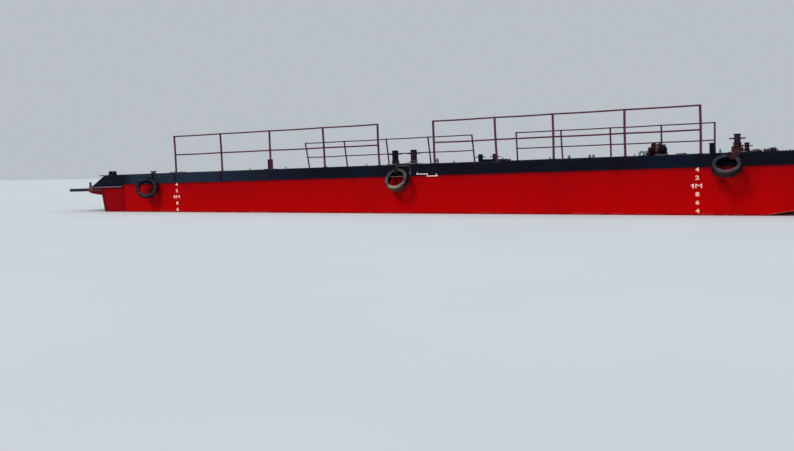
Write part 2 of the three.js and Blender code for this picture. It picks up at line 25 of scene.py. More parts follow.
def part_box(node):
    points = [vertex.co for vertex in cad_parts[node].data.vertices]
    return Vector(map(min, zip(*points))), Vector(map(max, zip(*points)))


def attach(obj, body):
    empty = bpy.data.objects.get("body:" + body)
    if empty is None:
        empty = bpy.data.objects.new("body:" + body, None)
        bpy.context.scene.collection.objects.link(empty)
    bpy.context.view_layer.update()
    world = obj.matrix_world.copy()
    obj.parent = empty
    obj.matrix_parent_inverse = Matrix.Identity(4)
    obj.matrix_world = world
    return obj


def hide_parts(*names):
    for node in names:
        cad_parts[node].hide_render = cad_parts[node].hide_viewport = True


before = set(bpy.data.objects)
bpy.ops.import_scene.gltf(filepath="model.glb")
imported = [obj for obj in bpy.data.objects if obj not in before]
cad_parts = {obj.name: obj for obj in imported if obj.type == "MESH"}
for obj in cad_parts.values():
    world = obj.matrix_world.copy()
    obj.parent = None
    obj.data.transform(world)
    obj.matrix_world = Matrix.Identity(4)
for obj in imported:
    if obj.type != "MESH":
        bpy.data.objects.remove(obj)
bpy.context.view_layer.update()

LOG = logging.getLogger("barge")
Object = bpy.types.Object
Point = Sequence[float]
Colour = tuple[float, float, float]

AMIDSHIPS = -0.427
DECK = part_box("main_deck")[1].z
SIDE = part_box("hull")[1].y
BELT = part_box("belt_port")[1].y
BELT_FOOT = 1.51
BELT_STEP = -10.11
TRANSOM = -11.135
TRANSOM_Z = 1.30
TRANSOM_FOOT = -10.995
TRANSOM_FOOT_Z = 0.50
RAKE_FOOT = 7.32
RAKE_SLOPE = 0.163
WATER_AMIDSHIPS = 0.440
TRIM = -0.014
RAIL_Y = 4.177
BOLLARD_Y = 3.960
VENT_Y = 3.900
TREAD = 1.400
BEAD_UP = 0.003
GAP = 1e-5


def on_frame(station: float) -> float:
    """The frame's x of a station."""
    return station + AMIDSHIPS


def middle_of(node: str) -> Vector:
    """The middle of a node's box."""
    low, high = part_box(node)
    return (low + high) / 2


def srgb(red: int, green: int, blue: int) -> Colour:
    """A colour as a screen shows it, turned into the linear values that shaders mix."""
    parts = [value / 255 for value in (red, green, blue)]
    return tuple(c / 12.92 if c <= 0.04045 else ((c + 0.055) / 1.055) ** 2.4 for c in parts)


class Side(Enum):
    """The two sides of the barge, each with the sign of its y."""

    STARBOARD = -1
    PORT = 1

    @property
    def word(self) -> str:
        """The side's name as the frame's nodes spell it."""
        return self.name.lower()


class Body(Enum):
    """The bodies of the frame that pieces ride on."""

    BARGE = "barge"
    LID_STARBOARD = "lid_starboard"
    LID_PORT = "lid_port"
    DRUM = "drum"
    CRANK = "crank"


class Slot(Enum):
    """The record's material slots."""

    HULL = "hull_red"
    BELT = "belt_black"
    DECK = "deck_steel"
    RAIL = "rail_red"
    LEDGE = "ledge_pale"
    SLATE = "platform_slate"
    TYRE = "tyre_rubber"
    TAR = "bollard_black"
    RUST = "winch_rust"
    STEEL = "worn_steel"


# Shader kit


class Signal:
    """A shader socket that takes part in sums."""

    def __init__(self, bench: NodeBench, socket: bpy.types.NodeSocket) -> None:
        """Keeps the socket and the bench that its sums go on."""
        self.bench = bench
        self.socket = socket

    def _sum(self, operation: str, other: Signal | float, turned: bool = False) -> Signal:
        """Adds the Math node of one operation.

        Args:
            operation: The Math node's operation.
            other: The other value, a socket or a number.
            turned: True where the other value comes first.

        Returns:
            The result.
        """
        first, second = (other, self) if turned else (self, other)
        node = self.bench.add("ShaderNodeMath", {"operation": operation}, {0: first, 1: second})
        return self.bench.out(node)

    def __add__(self, other: Signal | float) -> Signal:
        """This plus another."""
        return self._sum("ADD", other)

    def __sub__(self, other: Signal | float) -> Signal:
        """This less another."""
        return self._sum("SUBTRACT", other)

    def __rsub__(self, other: float) -> Signal:
        """A number less this."""
        return self._sum("SUBTRACT", other, turned=True)

    def __mul__(self, other: Signal | float) -> Signal:
        """This times another."""
        return self._sum("MULTIPLY", other)

    def size(self) -> Signal:
        """The value without its sign."""
        return self._sum("ABSOLUTE", 0.0)

    def least(self, other: Signal | float) -> Signal:
        """The smaller of this and another."""
        return self._sum("MINIMUM", other)

    def most(self, other: Signal | float) -> Signal:
        """The larger of this and another."""
        return self._sum("MAXIMUM", other)


class NodeBench:
    """The nodes of one material, with the patterns that the barge's finishes share."""

    def __init__(self, name: str) -> None:
        """Starts an empty material that reads the piece's own coordinates.

        Args:
            name: The material's name.
        """
        self.material = bpy.data.materials.new(name)
        self.material.use_nodes = True
        self.tree = self.material.node_tree
        self.tree.nodes.clear()
        self.place = self.out(self.add("ShaderNodeTexCoord"), "Object")
        spread = self.add("ShaderNodeSeparateXYZ", inputs={0: self.place})
        self.x, self.z = self.out(spread, "X"), self.out(spread, "Z")

    def add(self, kind: str, settings: dict | None = None, inputs: dict | None = None) -> bpy.types.Node:
        """Adds one node.

        Args:
            kind: The node's type.
            settings: The node's own settings, such as an operation, set first.
            inputs: Values or signals by socket name or number.

        Returns:
            The node.
        """
        node = self.tree.nodes.new(kind)
        for name, value in (settings or {}).items():
            setattr(node, name, value)
        for key, value in (inputs or {}).items():
            socket = node.inputs[key]
            if isinstance(value, Signal):
                self.tree.links.new(value.socket, socket)
            elif socket.type == "RGBA":
                socket.default_value = (*value, 1.0)
            else:
                socket.default_value = value
        return node

    def out(self, node: bpy.types.Node, socket: str | int = 0) -> Signal:
        """One output of a node as a signal."""
        return Signal(self, node.outputs[socket])

    def noise(self, scale: float, detail: float = 3.0, rough: float = 0.55,
              stretch: Point = (1.0, 1.0, 1.0)) -> Signal:
        """Cloudy noise.

        Args:
            scale: How many clouds there are in a metre.
            detail: How many finer layers it has.
            rough: How strong the finer layers are.
            stretch: The scale's factor along each axis.

        Returns:
            The noise, from 0 to 1.
        """
        where = self.add("ShaderNodeVectorMath", {"operation": "MULTIPLY"}, {0: self.place, 1: stretch})
        return self.out(self.add("ShaderNodeTexNoise", inputs={
            "Vector": self.out(where), "Scale": scale, "Detail": detail, "Roughness": rough}), "Fac")

    def cells(self, scale: float, stretch: Point = (1.0, 1.0, 1.0)) -> Signal:
        """Distance to the nearest of many scattered points, for specks, pits and chips.

        Args:
            scale: How many points there are in a metre.
            stretch: The scale's factor along each axis.

        Returns:
            The distance.
        """
        where = self.add("ShaderNodeVectorMath", {"operation": "MULTIPLY"}, {0: self.place, 1: stretch})
        return self.out(self.add("ShaderNodeTexVoronoi", inputs={
            "Vector": self.out(where), "Scale": scale}), "Distance")

    def above(self, value: Signal, start: float, end: float) -> Signal:
        """A soft step: 0 below start and 1 above end."""
        return self.out(self.add("ShaderNodeMapRange", {"interpolation_type": "SMOOTHSTEP"}, {
            "Value": value, "From Min": start, "From Max": end}))

    def within(self, value: Signal, centre: float, reach: float, fade: float) -> Signal:
        """A soft band: 1 near the centre and 0 past its reach."""
        return 1.0 - self.above((value - centre).size(), reach, reach + fade)

    def tint(self, first: Signal | Colour, second: Signal | Colour, share: Signal | float) -> Signal:
        """Mixes two colours: share is how much of the second shows."""
        return self.out(self.add("ShaderNodeMix", {"data_type": "RGBA"}, {0: share, 6: first, 7: second}), 2)

    def relief(self, height: Signal, distance: float, under: Signal | None = None) -> Signal:
        """A bump.

        Args:
            height: The height pattern, from 0 to 1.
            distance: The height of a full step, in metres.
            under: A bump that this one lies on.

        Returns:
            The bumped normal.
        """
        inputs = {"Height": height, "Distance": distance, "Strength": 1.0}
        if under is not None:
            inputs["Normal"] = under
        return self.out(self.add("ShaderNodeBump", inputs=inputs))

    def worn_edge(self, radius: float) -> Signal:
        """Where a corner stands out and is rubbed: 1 at a sharp edge and 0 on a flat.

        Args:
            radius: How far from the edge the rubbing reaches.

        Returns:
            The pattern.
        """
        eased = self.out(self.add("ShaderNodeBevel", {"samples": 4}, {"Radius": radius}))
        plain = self.out(self.add("ShaderNodeNewGeometry"), "Normal")
        alike = self.add("ShaderNodeVectorMath", {"operation": "DOT_PRODUCT"}, {0: eased, 1: plain})
        return 1.0 - self.above(self.out(alike, "Value"), 0.72, 0.98)

    def carried(self, name: str) -> Signal:
        """A value that the piece's own mesh carries."""
        return self.out(self.add("ShaderNodeAttribute", {"attribute_name": name}), "Fac")

    def skin(self, colour: Signal, roughness: Signal, relief: Signal, **constants: float | Signal) -> None:
        """Ends the material in one surface shader.

        Args:
            colour: The base colour.
            roughness: The roughness.
            relief: The bumped normal.
            constants: Other sockets by name, with an underscore for each space.
        """
        inputs = {"Base Color": colour, "Roughness": roughness, "Normal": relief, "Specular IOR Level": 0.05}
        inputs.update({name.replace("_", " "): value for name, value in constants.items()})
        shader = self.add("ShaderNodeBsdfPrincipled", inputs=inputs)
        self.add("ShaderNodeOutputMaterial", inputs={"Surface": self.out(shader)})


# Finishes


@dataclass(frozen=True)
class Finish:
    """A named finish. Each kind lays its own nodes."""

    name: str

    def lay(self, bench: NodeBench) -> None:
        """Lays the finish's nodes on a bench.

        Args:
            bench: Where the nodes go.
        """
        raise NotImplementedError


@functools.cache
def material_of(finish: Finish) -> bpy.types.Material:
    """The material of a finish, made the first time that it is asked for.

    Args:
        finish: The finish.

    Returns:
        The material.
    """
    bench = NodeBench(finish.name)
    finish.lay(bench)
    return bench.material


RUST_DARK = srgb(52, 24, 18)
RUST_WARM = srgb(98, 48, 34)
DUST = srgb(150, 140, 126)


@dataclass(frozen=True)
class HullPaint(Finish):
    """Glossy red side paint, streaked from the deck, scuffed by the tyres and fouled at the water, with light
    painted into it.

    The paint goes dull brown below the water, with a thin broken pale line of dried waterline deposit just
    above it.
    Its painted light is a painted floor reflection that brightens it low down, painted shade under the belt,
    a painted reflection down the stern's rounded corner, painted shadows of the tyres mixed with their rub
    marks, and a painted highlight along the raked bow's foot.
    """

    deep: Colour = srgb(156, 0, 5)
    bright: Colour = srgb(184, 0, 0)
    drab: Colour = srgb(108, 0, 6)
    # Pale colour of the dried waterline line, also used for the painted highlight along the raked bow's foot.
    scum: Colour = srgb(214, 96, 88)
    fouling: Colour = srgb(66, 26, 22)
    weed: Colour = srgb(44, 54, 30)
    # Places of the black marks below the tyres: rub marks that are also painted shadows of the tyres.
    rub_marks: tuple[tuple[float, float], ...] = ()

    def lay(self, bench: NodeBench) -> None:
        """Lays the paint, its streaks, the rub marks with the tyres' painted shadows, the painted
        reflections, shade and highlight, and the waterline.

        Args:
            bench: Where the nodes go.
        """
        height = bench.z - (bench.x * TRIM + WATER_AMIDSHIPS)
        clouds = bench.noise(0.45, 2.0)
        # Painted reflection of the pale floor: the red is mixed brighter towards the bottom of the side.
        floor_reflection = 1.0 - bench.above(bench.z, 0.5, 1.5)
        colour = bench.tint(self.deep, self.bright, (clouds * 0.5 + floor_reflection * 0.55).least(1.0))
        runs = bench.above(bench.noise(1.0, 5.0, 0.6, (7.0, 1.0, 0.28)), 0.56, 0.78)
        faint = bench.above(bench.noise(1.0, 3.0, 0.6, (1.4, 1.0, 0.2)), 0.5, 0.8)
        under_belt = bench.above(bench.z, 1.15, BELT_FOOT)
        colour = bench.tint(colour, self.drab, runs * (under_belt * 0.5 + 0.22) + faint * 0.3)
        # Painted shade: a dark band just under the belt's foot, the shade of the belt's lip.
        shade_under_belt = bench.above(bench.z + faint * 0.02, BELT_FOOT - 0.13, BELT_FOOT)
        colour = bench.tint(colour, srgb(70, 8, 18), shade_under_belt * 0.7)
        colour = self._stern_end(bench, colour)
        # Black rub marks round the tyres, which are also painted shadows of the tyres on the side.
        marks = self._rubs(bench)
        grain = bench.noise(6.0, 4.0, 0.7)
        colour = bench.tint(colour, srgb(38, 8, 10), marks * bench.above(grain, 0.3, 0.62))
        chips = bench.above(bench.noise(11.0, 5.0, 0.7), 0.685, 0.72)
        weeping = bench.above(bench.noise(1.0, 4.0, 0.7, (16.0, 3.0, 0.9)), 0.66, 0.78)
        colour = bench.tint(colour, RUST_DARK, (chips * 0.8 + weeping * under_belt * 0.5).least(1.0))
        broken = bench.above(bench.noise(1.0, 4.0, 0.65, (2.6, 1.0, 1.0)), 0.47, 0.6)
        dried = bench.within(height + bench.noise(3.0) * 0.02, 0.045, 0.004, 0.010)
        colour = bench.tint(colour, self.scum, dried * broken * 0.4)
        # Painted highlight: a pale line along the foot of the raked bow.
        rake_highlight = bench.within(bench.z - (bench.x - on_frame(RAKE_FOOT)) * RAKE_SLOPE, 0.0, 0.004, 0.012)
        forward = bench.above(bench.x, on_frame(8.8), on_frame(9.6))
        colour = bench.tint(colour, self.scum, rake_highlight * forward * 0.7)
        wet = bench.within(height, 0.0, 0.02, 0.03)
        colour = bench.tint(colour, srgb(84, 6, 10), wet * 0.6)
        growth = bench.tint(self.fouling, self.weed, bench.above(bench.noise(5.0, 6.0, 0.7), 0.4, 0.65))
        shells = 1.0 - bench.above(bench.cells(22.0), 0.12, 0.2)
        growth = bench.tint(growth, DUST, shells * bench.above(clouds, 0.45, 0.6) * 0.6)
        sunk = 1.0 - bench.above(height + grain * 0.03, -0.03, 0.01)
        colour = bench.tint(colour, growth, sunk)
        buckled = bench.relief(bench.noise(0.9, 1.0, 0.4, (1.5, 1.0, 1.0)), 0.05)
        orange_peel = bench.relief(bench.noise(60.0, 3.0), 0.0012, buckled)
        rough = grain * 0.22 + runs * 0.12 + sunk * 0.3 + marks * 0.15 + 0.34
        bench.skin(colour, rough.least(0.95), bench.relief(chips * -1.0 + sunk * grain, 0.0015, orange_peel),
                   Specular_IOR_Level=0.03)

    def _stern_end(self, bench: NodeBench, colour: Signal) -> Signal:
        """The stern's darker tones: darker aft of the belt's step, darker still in a band by the step, and a
        painted reflection at the corner.

        Args:
            bench: Where the nodes go.
            colour: The side's paint.

        Returns:
            The paint with the stern's shades.
        """
        wander = bench.noise(2.0) * 0.05
        dull = 1.0 - bench.above(bench.x + wander, on_frame(BELT_STEP) - 0.12, on_frame(BELT_STEP) + 0.02)
        colour = bench.tint(colour, srgb(116, 4, 14), dull * 0.65)
        panel = bench.within(bench.x + wander, on_frame(BELT_STEP) + 0.03, 0.03, 0.12)
        colour = bench.tint(colour, srgb(96, 1, 8), panel * 0.6)
        # Painted reflection of the dark water: a dark strip down the stern's rounded corner.
        corner = 1.0 - bench.above(bench.x + bench.z * 0.17, on_frame(-10.74), on_frame(-10.66))
        return bench.tint(colour, srgb(92, 8, 16), corner * 0.8)

    def _rubs(self, bench: NodeBench) -> Signal:
        """The black marks round and below the hanging tyres: rubber scuffs, which also serve as painted
        shadows of the tyres.

        Args:
            bench: Where the nodes go.

        Returns:
            How much of the black shows.
        """
        worn = bench.noise(3.0, 3.0) * 0.04
        for x, z in self.rub_marks:
            aside = (bench.x - x) * (bench.x - x)
            drop = (bench.z - z) * (bench.z - z) * 0.55
            worn = worn.most(1.0 - bench.above(aside + drop, 0.03, 0.17))
        return worn * 0.8


@dataclass(frozen=True)
class BeltPaint(Finish):
    """Tarry black paint over the belt, with scraped patches, dull rust, pale scuffs along its top and a
    painted sky sheen towards the stern.
    """

    blue: Colour = srgb(8, 19, 34)
    black: Colour = srgb(12, 11, 23)
    # Paler blue of the painted sky sheen.
    bleached: Colour = srgb(31, 42, 58)

    def lay(self, bench: NodeBench) -> None:
        """Lays the tar, the painted sheen, its scrapes and its rust.

        Args:
            bench: Where the nodes go.
        """
        clouds = bench.noise(0.5, 3.0)
        colour = bench.tint(self.blue, self.black, bench.above(clouds, 0.38, 0.6))
        # Painted sky sheen: a paler blue patch along the belt towards the stern, fading out towards
        # amidships.
        sheen_aft = bench.above(bench.x, on_frame(BELT_STEP), on_frame(BELT_STEP) + 0.5)
        sheen_aft = sheen_aft * (1.0 - bench.above(bench.x + clouds, on_frame(-7.5), on_frame(-2.0)))
        colour = bench.tint(colour, self.bleached, sheen_aft)
        scrapes = bench.above(bench.noise(1.0, 5.0, 0.7, (0.8, 1.0, 14.0)), 0.58, 0.7)
        colour = bench.tint(colour, srgb(40, 44, 52), scrapes * 0.4)
        near_top = bench.above(bench.z, DECK - 0.05, DECK)
        patches = bench.noise(3.2, 5.0, 0.7)
        colour = bench.tint(colour, srgb(72, 66, 70), near_top * bench.above(patches, 0.45, 0.62) * 0.6)
        rust = bench.above(patches, 0.62, 0.7)
        runs = bench.above(bench.noise(1.0, 4.0, 0.6, (9.0, 3.0, 0.6)), 0.62, 0.78)
        colour = bench.tint(colour, RUST_DARK, (rust * 0.5 + runs * 0.3).least(1.0))
        chips = bench.above(bench.noise(26.0, 4.0, 0.7), 0.66, 0.7)
        colour = bench.tint(colour, RUST_WARM, chips * 0.4)
        dents = bench.relief(bench.noise(1.7, 2.0, 0.5), 0.03)
        rough = patches * 0.3 + scrapes * 0.2 + 0.36
        bench.skin(colour, rough, bench.relief(chips * -1.0 + patches * 0.8, 0.002, dents))


@dataclass(frozen=True)
class DeckSteel(Finish):
    """Walked deck plate: thin worn paint, rust blooms, dragged scratches and oil stains."""

    paint: Colour = srgb(104, 88, 78)
    worn: Colour = srgb(74, 58, 50)
    drag: float = 1.0

    def lay(self, bench: NodeBench) -> None:
        """Lays the worn paint, the rust, the scratches and the stains.

        Args:
            bench: Where the nodes go.
        """
        patches = bench.noise(1.1, 6.0, 0.62)
        colour = bench.tint(self.paint, self.worn, bench.above(patches, 0.4, 0.58))
        blooms = bench.above(bench.noise(2.6, 7.0, 0.7), 0.5, 0.66)
        colour = bench.tint(colour, RUST_WARM, blooms * 0.75)
        colour = bench.tint(colour, RUST_DARK, bench.above(bench.noise(6.0, 5.0, 0.7), 0.56, 0.66) * 0.8)
        scratches = bench.above(bench.noise(1.0, 3.0, 0.6, (1.6, 60.0, 1.0)), 0.63, 0.7) * self.drag
        colour = bench.tint(colour, srgb(150, 142, 134), scratches * 0.45)
        stains = bench.above(bench.noise(0.8, 3.0, 0.5), 0.62, 0.72)
        colour = bench.tint(colour, srgb(30, 26, 24), stains * 0.7)
        pits = 1.0 - bench.above(bench.cells(70.0), 0.1, 0.3)
        buckled = bench.relief(bench.noise(0.7, 1.0), 0.04)
        rough = 0.88 - stains * 0.4 - scratches * 0.2
        bench.skin(colour, rough, bench.relief(blooms * 0.6 + pits * blooms * -0.5, 0.002, buckled),
                   Metallic=scratches * 0.5)


@dataclass(frozen=True)
class WeatheredPaint(Finish):
    """Brushed paint on a steel fitting, chalked by the sun and broken by rust at its edges."""

    coat: Colour = srgb(112, 30, 38)
    chalk: Colour = srgb(132, 56, 62)
    bare: Colour = RUST_DARK
    edge: float = 0.006
    rusting: float = 0.5
    gloss: float = 0.5

    def lay(self, bench: NodeBench) -> None:
        """Lays the paint, its chalking and its rust.

        Args:
            bench: Where the nodes go.
        """
        patches = bench.noise(4.0, 4.0, 0.6)
        colour = bench.tint(self.coat, self.chalk, bench.above(patches, 0.35, 0.7) * 0.6)
        brushed = bench.noise(1.0, 3.0, 0.6, (30.0, 30.0, 5.0))
        colour = bench.tint(colour, self.coat, brushed * 0.4)
        grit = bench.noise(24.0, 5.0, 0.7)
        spread = self.rusting * 0.16
        rust = bench.above(grit * 0.5 + patches * 0.5, 0.62 - spread, 0.68 - spread)
        edges = bench.worn_edge(self.edge) * bench.above(grit, 0.4, 0.6)
        broken = rust.most(edges)
        shown = bench.tint(self.bare, RUST_WARM, bench.above(grit, 0.45, 0.7))
        colour = bench.tint(colour, shown, broken * 0.9)
        rough = broken * 0.3 + brushed * 0.15 + (1.0 - self.gloss)
        bench.skin(colour, rough.least(0.95), bench.relief(grit * 0.5 - broken, 0.0015))


@dataclass(frozen=True)
class PaleEdge(Finish):
    """The stern ledge: pale paint that ropes and boats have rubbed, pinkish where the red shows."""

    pale: Colour = srgb(144, 120, 124)
    rubbed: Colour = srgb(102, 84, 88)
    # Colour of the painted shadow under the ledge's edge.
    under: Colour = srgb(30, 18, 20)

    def lay(self, bench: NodeBench) -> None:
        """Lays the pale top, the rubbed patches and the painted shadow along the lower part of its face.

        Args:
            bench: Where the nodes go.
        """
        patches = bench.noise(2.4, 6.0, 0.65)
        colour = bench.tint(self.pale, self.rubbed, bench.above(patches, 0.4, 0.62) * 0.9)
        pink = bench.above(bench.noise(5.0, 4.0, 0.6), 0.5, 0.66)
        colour = bench.tint(colour, srgb(168, 84, 84), pink * 0.5)
        rust = bench.above(bench.noise(9.0, 6.0, 0.7), 0.58, 0.64)
        colour = bench.tint(colour, RUST_WARM, rust * 0.7)
        # Painted shadow: the lower part of the ledge is darkened, the shade under its edge.
        foot, crown = (corner.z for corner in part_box("stern_ledge"))
        shade_lip = 1.0 - bench.above(bench.z, foot + (crown - foot) * 0.35, foot + (crown - foot) * 0.5)
        colour = bench.tint(colour, self.under, shade_lip)
        bench.skin(colour, patches * 0.3 + 0.5, bench.relief(patches - rust, 0.003))


@dataclass(frozen=True)
class SlatePaint(Finish):
    """Dark slate-blue platform paint, chequered against slipping and rubbed along its edges."""

    coat: Colour = srgb(28, 44, 56)
    light: Colour = srgb(50, 66, 76)
    pink: Colour = srgb(140, 62, 70)
    post: Colour = srgb(34, 44, 52)

    def lay(self, bench: NodeBench) -> None:
        """Lays the paint, the red that shows at its root, its rust and the raised lozenges of the tread.

        Args:
            bench: Where the nodes go.
        """
        patches = bench.noise(2.0, 5.0, 0.6)
        colour = bench.tint(self.coat, self.light, bench.above(patches, 0.4, 0.7) * 0.6)
        root = bench.above(bench.x, on_frame(-11.78), on_frame(-11.62))
        colour = bench.tint(colour, self.pink, root * 0.8)
        rust = bench.above(bench.noise(7.0, 6.0, 0.7), 0.56, 0.64)
        edges = bench.worn_edge(0.01) * bench.above(patches, 0.35, 0.55)
        colour = bench.tint(colour, RUST_WARM, rust.most(edges) * 0.8)
        standing = bench.above(bench.z, TREAD + 0.004, TREAD + 0.010)
        colour = bench.tint(colour, self.post, standing * 0.95)
        lozenges = 1.0 - bench.above(bench.cells(34.0, (1.0, 2.2, 1.0)), 0.2, 0.32)
        bench.skin(colour, patches * 0.2 + 0.6, bench.relief(lozenges - rust * 0.5, 0.0025))


@dataclass(frozen=True)
class TyreRubber(Finish):
    """Old tyre rubber: grey on the outer wall, partly faded by the sun and partly painted light where the
    wall faces up, near black in the tread's hollows and inside by the bead as painted shade, and paler low
    down, less so on the tread, which stays darker as painted shade.

    The mesh carries "sidewall", 1 on the outer wall and 0 on the tread and inside, "groove", 1 in the tread's
    hollows and inside by the bead, and "low", how far down the hung tyre a place is, from 0 at its top to 1.
    """

    rubber: Colour = srgb(22, 22, 25)
    # Grey of the outer wall: rubber faded by the sun, and painted light where the wall faces up.
    bleached: Colour = srgb(88, 86, 92)
    # Colour mixed in low down, to make the tyre paler there.
    dust: Colour = srgb(150, 122, 110)
    dusting: float = 0.5

    def lay(self, bench: NodeBench) -> None:
        """Lays the rubber, its paler wall with painted light, its paleness low down, the painted shade in its
        hollows, its cracks and its scuffs.

        Args:
            bench: Where the nodes go.
        """
        patches = bench.noise(6.0, 5.0, 0.65)
        wall = bench.carried("sidewall")
        low = bench.carried("low")
        colour = bench.tint(self.rubber, srgb(46, 46, 50), bench.above(patches, 0.4, 0.65) * 0.7)
        # Paler outer wall: faded rubber, and painted light where it faces up.
        colour = bench.tint(colour, self.bleached, wall * bench.above(patches, 0.3, 0.62) * 0.7)
        # Paler low down; the tread takes a quarter as much and stays darker, which is painted shade on the
        # tread.
        paler_low = bench.above(low + patches * 0.5, 0.85, 1.3) * (wall * 0.75 + 0.25)
        colour = bench.tint(colour, self.dust, paler_low * self.dusting)
        scuffs = bench.above(bench.noise(20.0, 4.0, 0.7), 0.6, 0.7)
        colour = bench.tint(colour, srgb(110, 14, 18), scuffs * bench.above(patches, 0.5, 0.62) * 0.3)
        # Painted shade: near black in the tread's hollows and inside by the bead.
        colour = bench.tint(colour, srgb(8, 8, 9), bench.carried("groove") * 0.8)
        cracks = 1.0 - bench.above(bench.cells(60.0, (1.0, 1.0, 2.0)), 0.02, 0.16)
        bench.skin(colour, patches * 0.15 + 0.76, bench.relief(patches * 0.5 - cracks * 0.4, 0.0016))


@dataclass(frozen=True)
class RustIron(Finish):
    """Bare iron that has rusted brown-red, flaking, with darker scale and warm powder."""

    scale: Colour = srgb(52, 27, 26)
    powder: Colour = srgb(92, 50, 42)
    dark: Colour = srgb(27, 16, 20)
    bare: Colour = srgb(118, 80, 70)

    def lay(self, bench: NodeBench) -> None:
        """Lays the scale, the powder and the flakes.

        Args:
            bench: Where the nodes go.
        """
        patches = bench.noise(5.0, 6.0, 0.68)
        colour = bench.tint(self.scale, self.powder, bench.above(patches, 0.42, 0.66))
        colour = bench.tint(colour, self.dark, bench.above(bench.noise(9.0, 5.0, 0.7), 0.52, 0.64) * 0.8)
        flakes = 1.0 - bench.above(bench.cells(45.0), 0.12, 0.4)
        colour = bench.tint(colour, self.bare, bench.worn_edge(0.006) * 0.35)
        bench.skin(colour, patches * 0.15 + 0.78, bench.relief(flakes * 0.5 + patches, 0.003), Metallic=0.15)


@dataclass(frozen=True)
class HandledSteel(Finish):
    """Steel kept bright by hands, greasy and brown where they don't reach."""

    bright: Colour = srgb(168, 162, 154)
    brown: Colour = srgb(84, 60, 46)

    def lay(self, bench: NodeBench) -> None:
        """Lays the metal and its brown patches.

        Args:
            bench: Where the nodes go.
        """
        patches = bench.noise(14.0, 5.0, 0.65)
        brown = bench.above(patches, 0.44, 0.58)
        scratches = bench.noise(1.0, 2.0, 0.5, (8.0, 90.0, 90.0))
        bench.skin(bench.tint(self.bright, self.brown, brown), brown * 0.4 + scratches * 0.15 + 0.3,
                   bench.relief(scratches + patches, 0.0006), Metallic=1.0 - brown * 0.7)


@dataclass(frozen=True)
class RopeFibre(Finish):
    """Weathered mooring rope: pale fibres, grey and tarry in places."""

    fibre: Colour = srgb(118, 112, 116)
    dirty: Colour = srgb(72, 68, 74)

    def lay(self, bench: NodeBench) -> None:
        """Lays the fibres, their dirt and their fuzz.

        Args:
            bench: Where the nodes go.
        """
        patches = bench.noise(7.0, 5.0, 0.65)
        colour = bench.tint(self.fibre, self.dirty, bench.above(patches, 0.42, 0.64) * 0.85)
        yarns = bench.noise(260.0, 2.0, 0.6, (1.0, 1.0, 0.4))
        colour = bench.tint(colour, srgb(52, 49, 48), bench.above(yarns, 0.55, 0.7) * 0.5)
        bench.skin(colour, patches * 0.1 + 0.85, bench.relief(yarns, 0.0015))


@dataclass(frozen=True)
class MarkingPaint(Finish):
    """White marks painted by hand on the side, thin and pinkish where the red shows through."""

    white: Colour = srgb(252, 226, 214)
    through: Colour = srgb(190, 40, 36)

    def lay(self, bench: NodeBench) -> None:
        """Lays the white and its worn places.

        Args:
            bench: Where the nodes go.
        """
        worn = bench.above(bench.noise(18.0, 5.0, 0.7), 0.55, 0.72)
        brush = bench.noise(1.0, 3.0, 0.6, (80.0, 10.0, 20.0))
        colour = bench.tint(self.white, srgb(232, 190, 178), brush * 0.6)
        colour = bench.tint(colour, self.through, worn * 0.55)
        bench.skin(colour, brush * 0.2 + 0.45, bench.relief(brush - worn, 0.0006))


@dataclass(frozen=True)
class StudioFloor(Finish):
    """The studio's pale floor, very slightly mottled."""

    pale: Colour = srgb(226, 230, 232)
    shade: Colour = srgb(214, 219, 222)

    def lay(self, bench: NodeBench) -> None:
        """Lays the pale paint and its faint mottling.

        Args:
            bench: Where the nodes go.
        """
        patches = bench.noise(0.25, 3.0)
        bench.skin(bench.tint(self.pale, self.shade, patches), patches * 0.1 + 0.75,
                   bench.relief(bench.noise(3.0, 2.0), 0.0005))


FENDER_ENDS = ("aft", "middle", "fore")
RUB_AND_SHADOW_DROP = 0.10


def rub_marks() -> tuple[tuple[float, float], ...]:
    """The x and z of the middle of each black mark below a tyre: a rub mark that also serves as the tyre's
    painted shadow.
    """
    middles = [middle_of(f"fender_{end}_starboard") for end in FENDER_ENDS]
    return tuple((middle.x, middle.z - RUB_AND_SHADOW_DROP) for middle in middles)


HULL_RED = HullPaint("hull_red", rub_marks=rub_marks())
BELT_BLACK = BeltPaint("belt_black")
DECK_PLATE = DeckSteel("deck_steel")
CARGO_PLATE = DeckSteel("cargo_plate_steel", paint=srgb(92, 80, 74), drag=1.6)
RAIL_RED = WeatheredPaint("rail_red", coat=srgb(84, 34, 54), chalk=srgb(110, 70, 88), rusting=0.15)
FITTING_RED = WeatheredPaint("fitting_red", coat=srgb(140, 22, 24), chalk=srgb(160, 60, 56))
STRAP_RED = WeatheredPaint("strap_dark_red", coat=srgb(18, 12, 22), chalk=srgb(30, 18, 28), rusting=0.1)
TAR_BLACK = WeatheredPaint("bollard_black", coat=srgb(15, 17, 30), chalk=srgb(30, 32, 46), rusting=0.15)
MAROON_BLACK = WeatheredPaint("bollard_maroon", coat=srgb(38, 24, 38), chalk=srgb(62, 42, 58), rusting=0.25)
BASE_GREY = WeatheredPaint("base_plate_grey", coat=srgb(98, 92, 102), chalk=srgb(128, 120, 128), rusting=0.4)
VENT_TEAL = WeatheredPaint("vent_teal", coat=srgb(92, 122, 134), chalk=srgb(132, 158, 168), rusting=0.2)
SKID_GREY = WeatheredPaint("skid_grey", coat=srgb(80, 76, 88), chalk=srgb(102, 96, 106), rusting=0.2)
DRUM_MAROON = WeatheredPaint("drum_maroon", coat=srgb(44, 18, 26), chalk=srgb(66, 32, 40), rusting=0.3)
LEDGE_PALE = PaleEdge("ledge_pale")
SLATE = SlatePaint("platform_slate")
RUST = RustIron("winch_rust")
CHAIN_RUST = RustIron("chain_rust", scale=srgb(74, 42, 48), powder=srgb(104, 64, 66), dark=srgb(38, 23, 32))
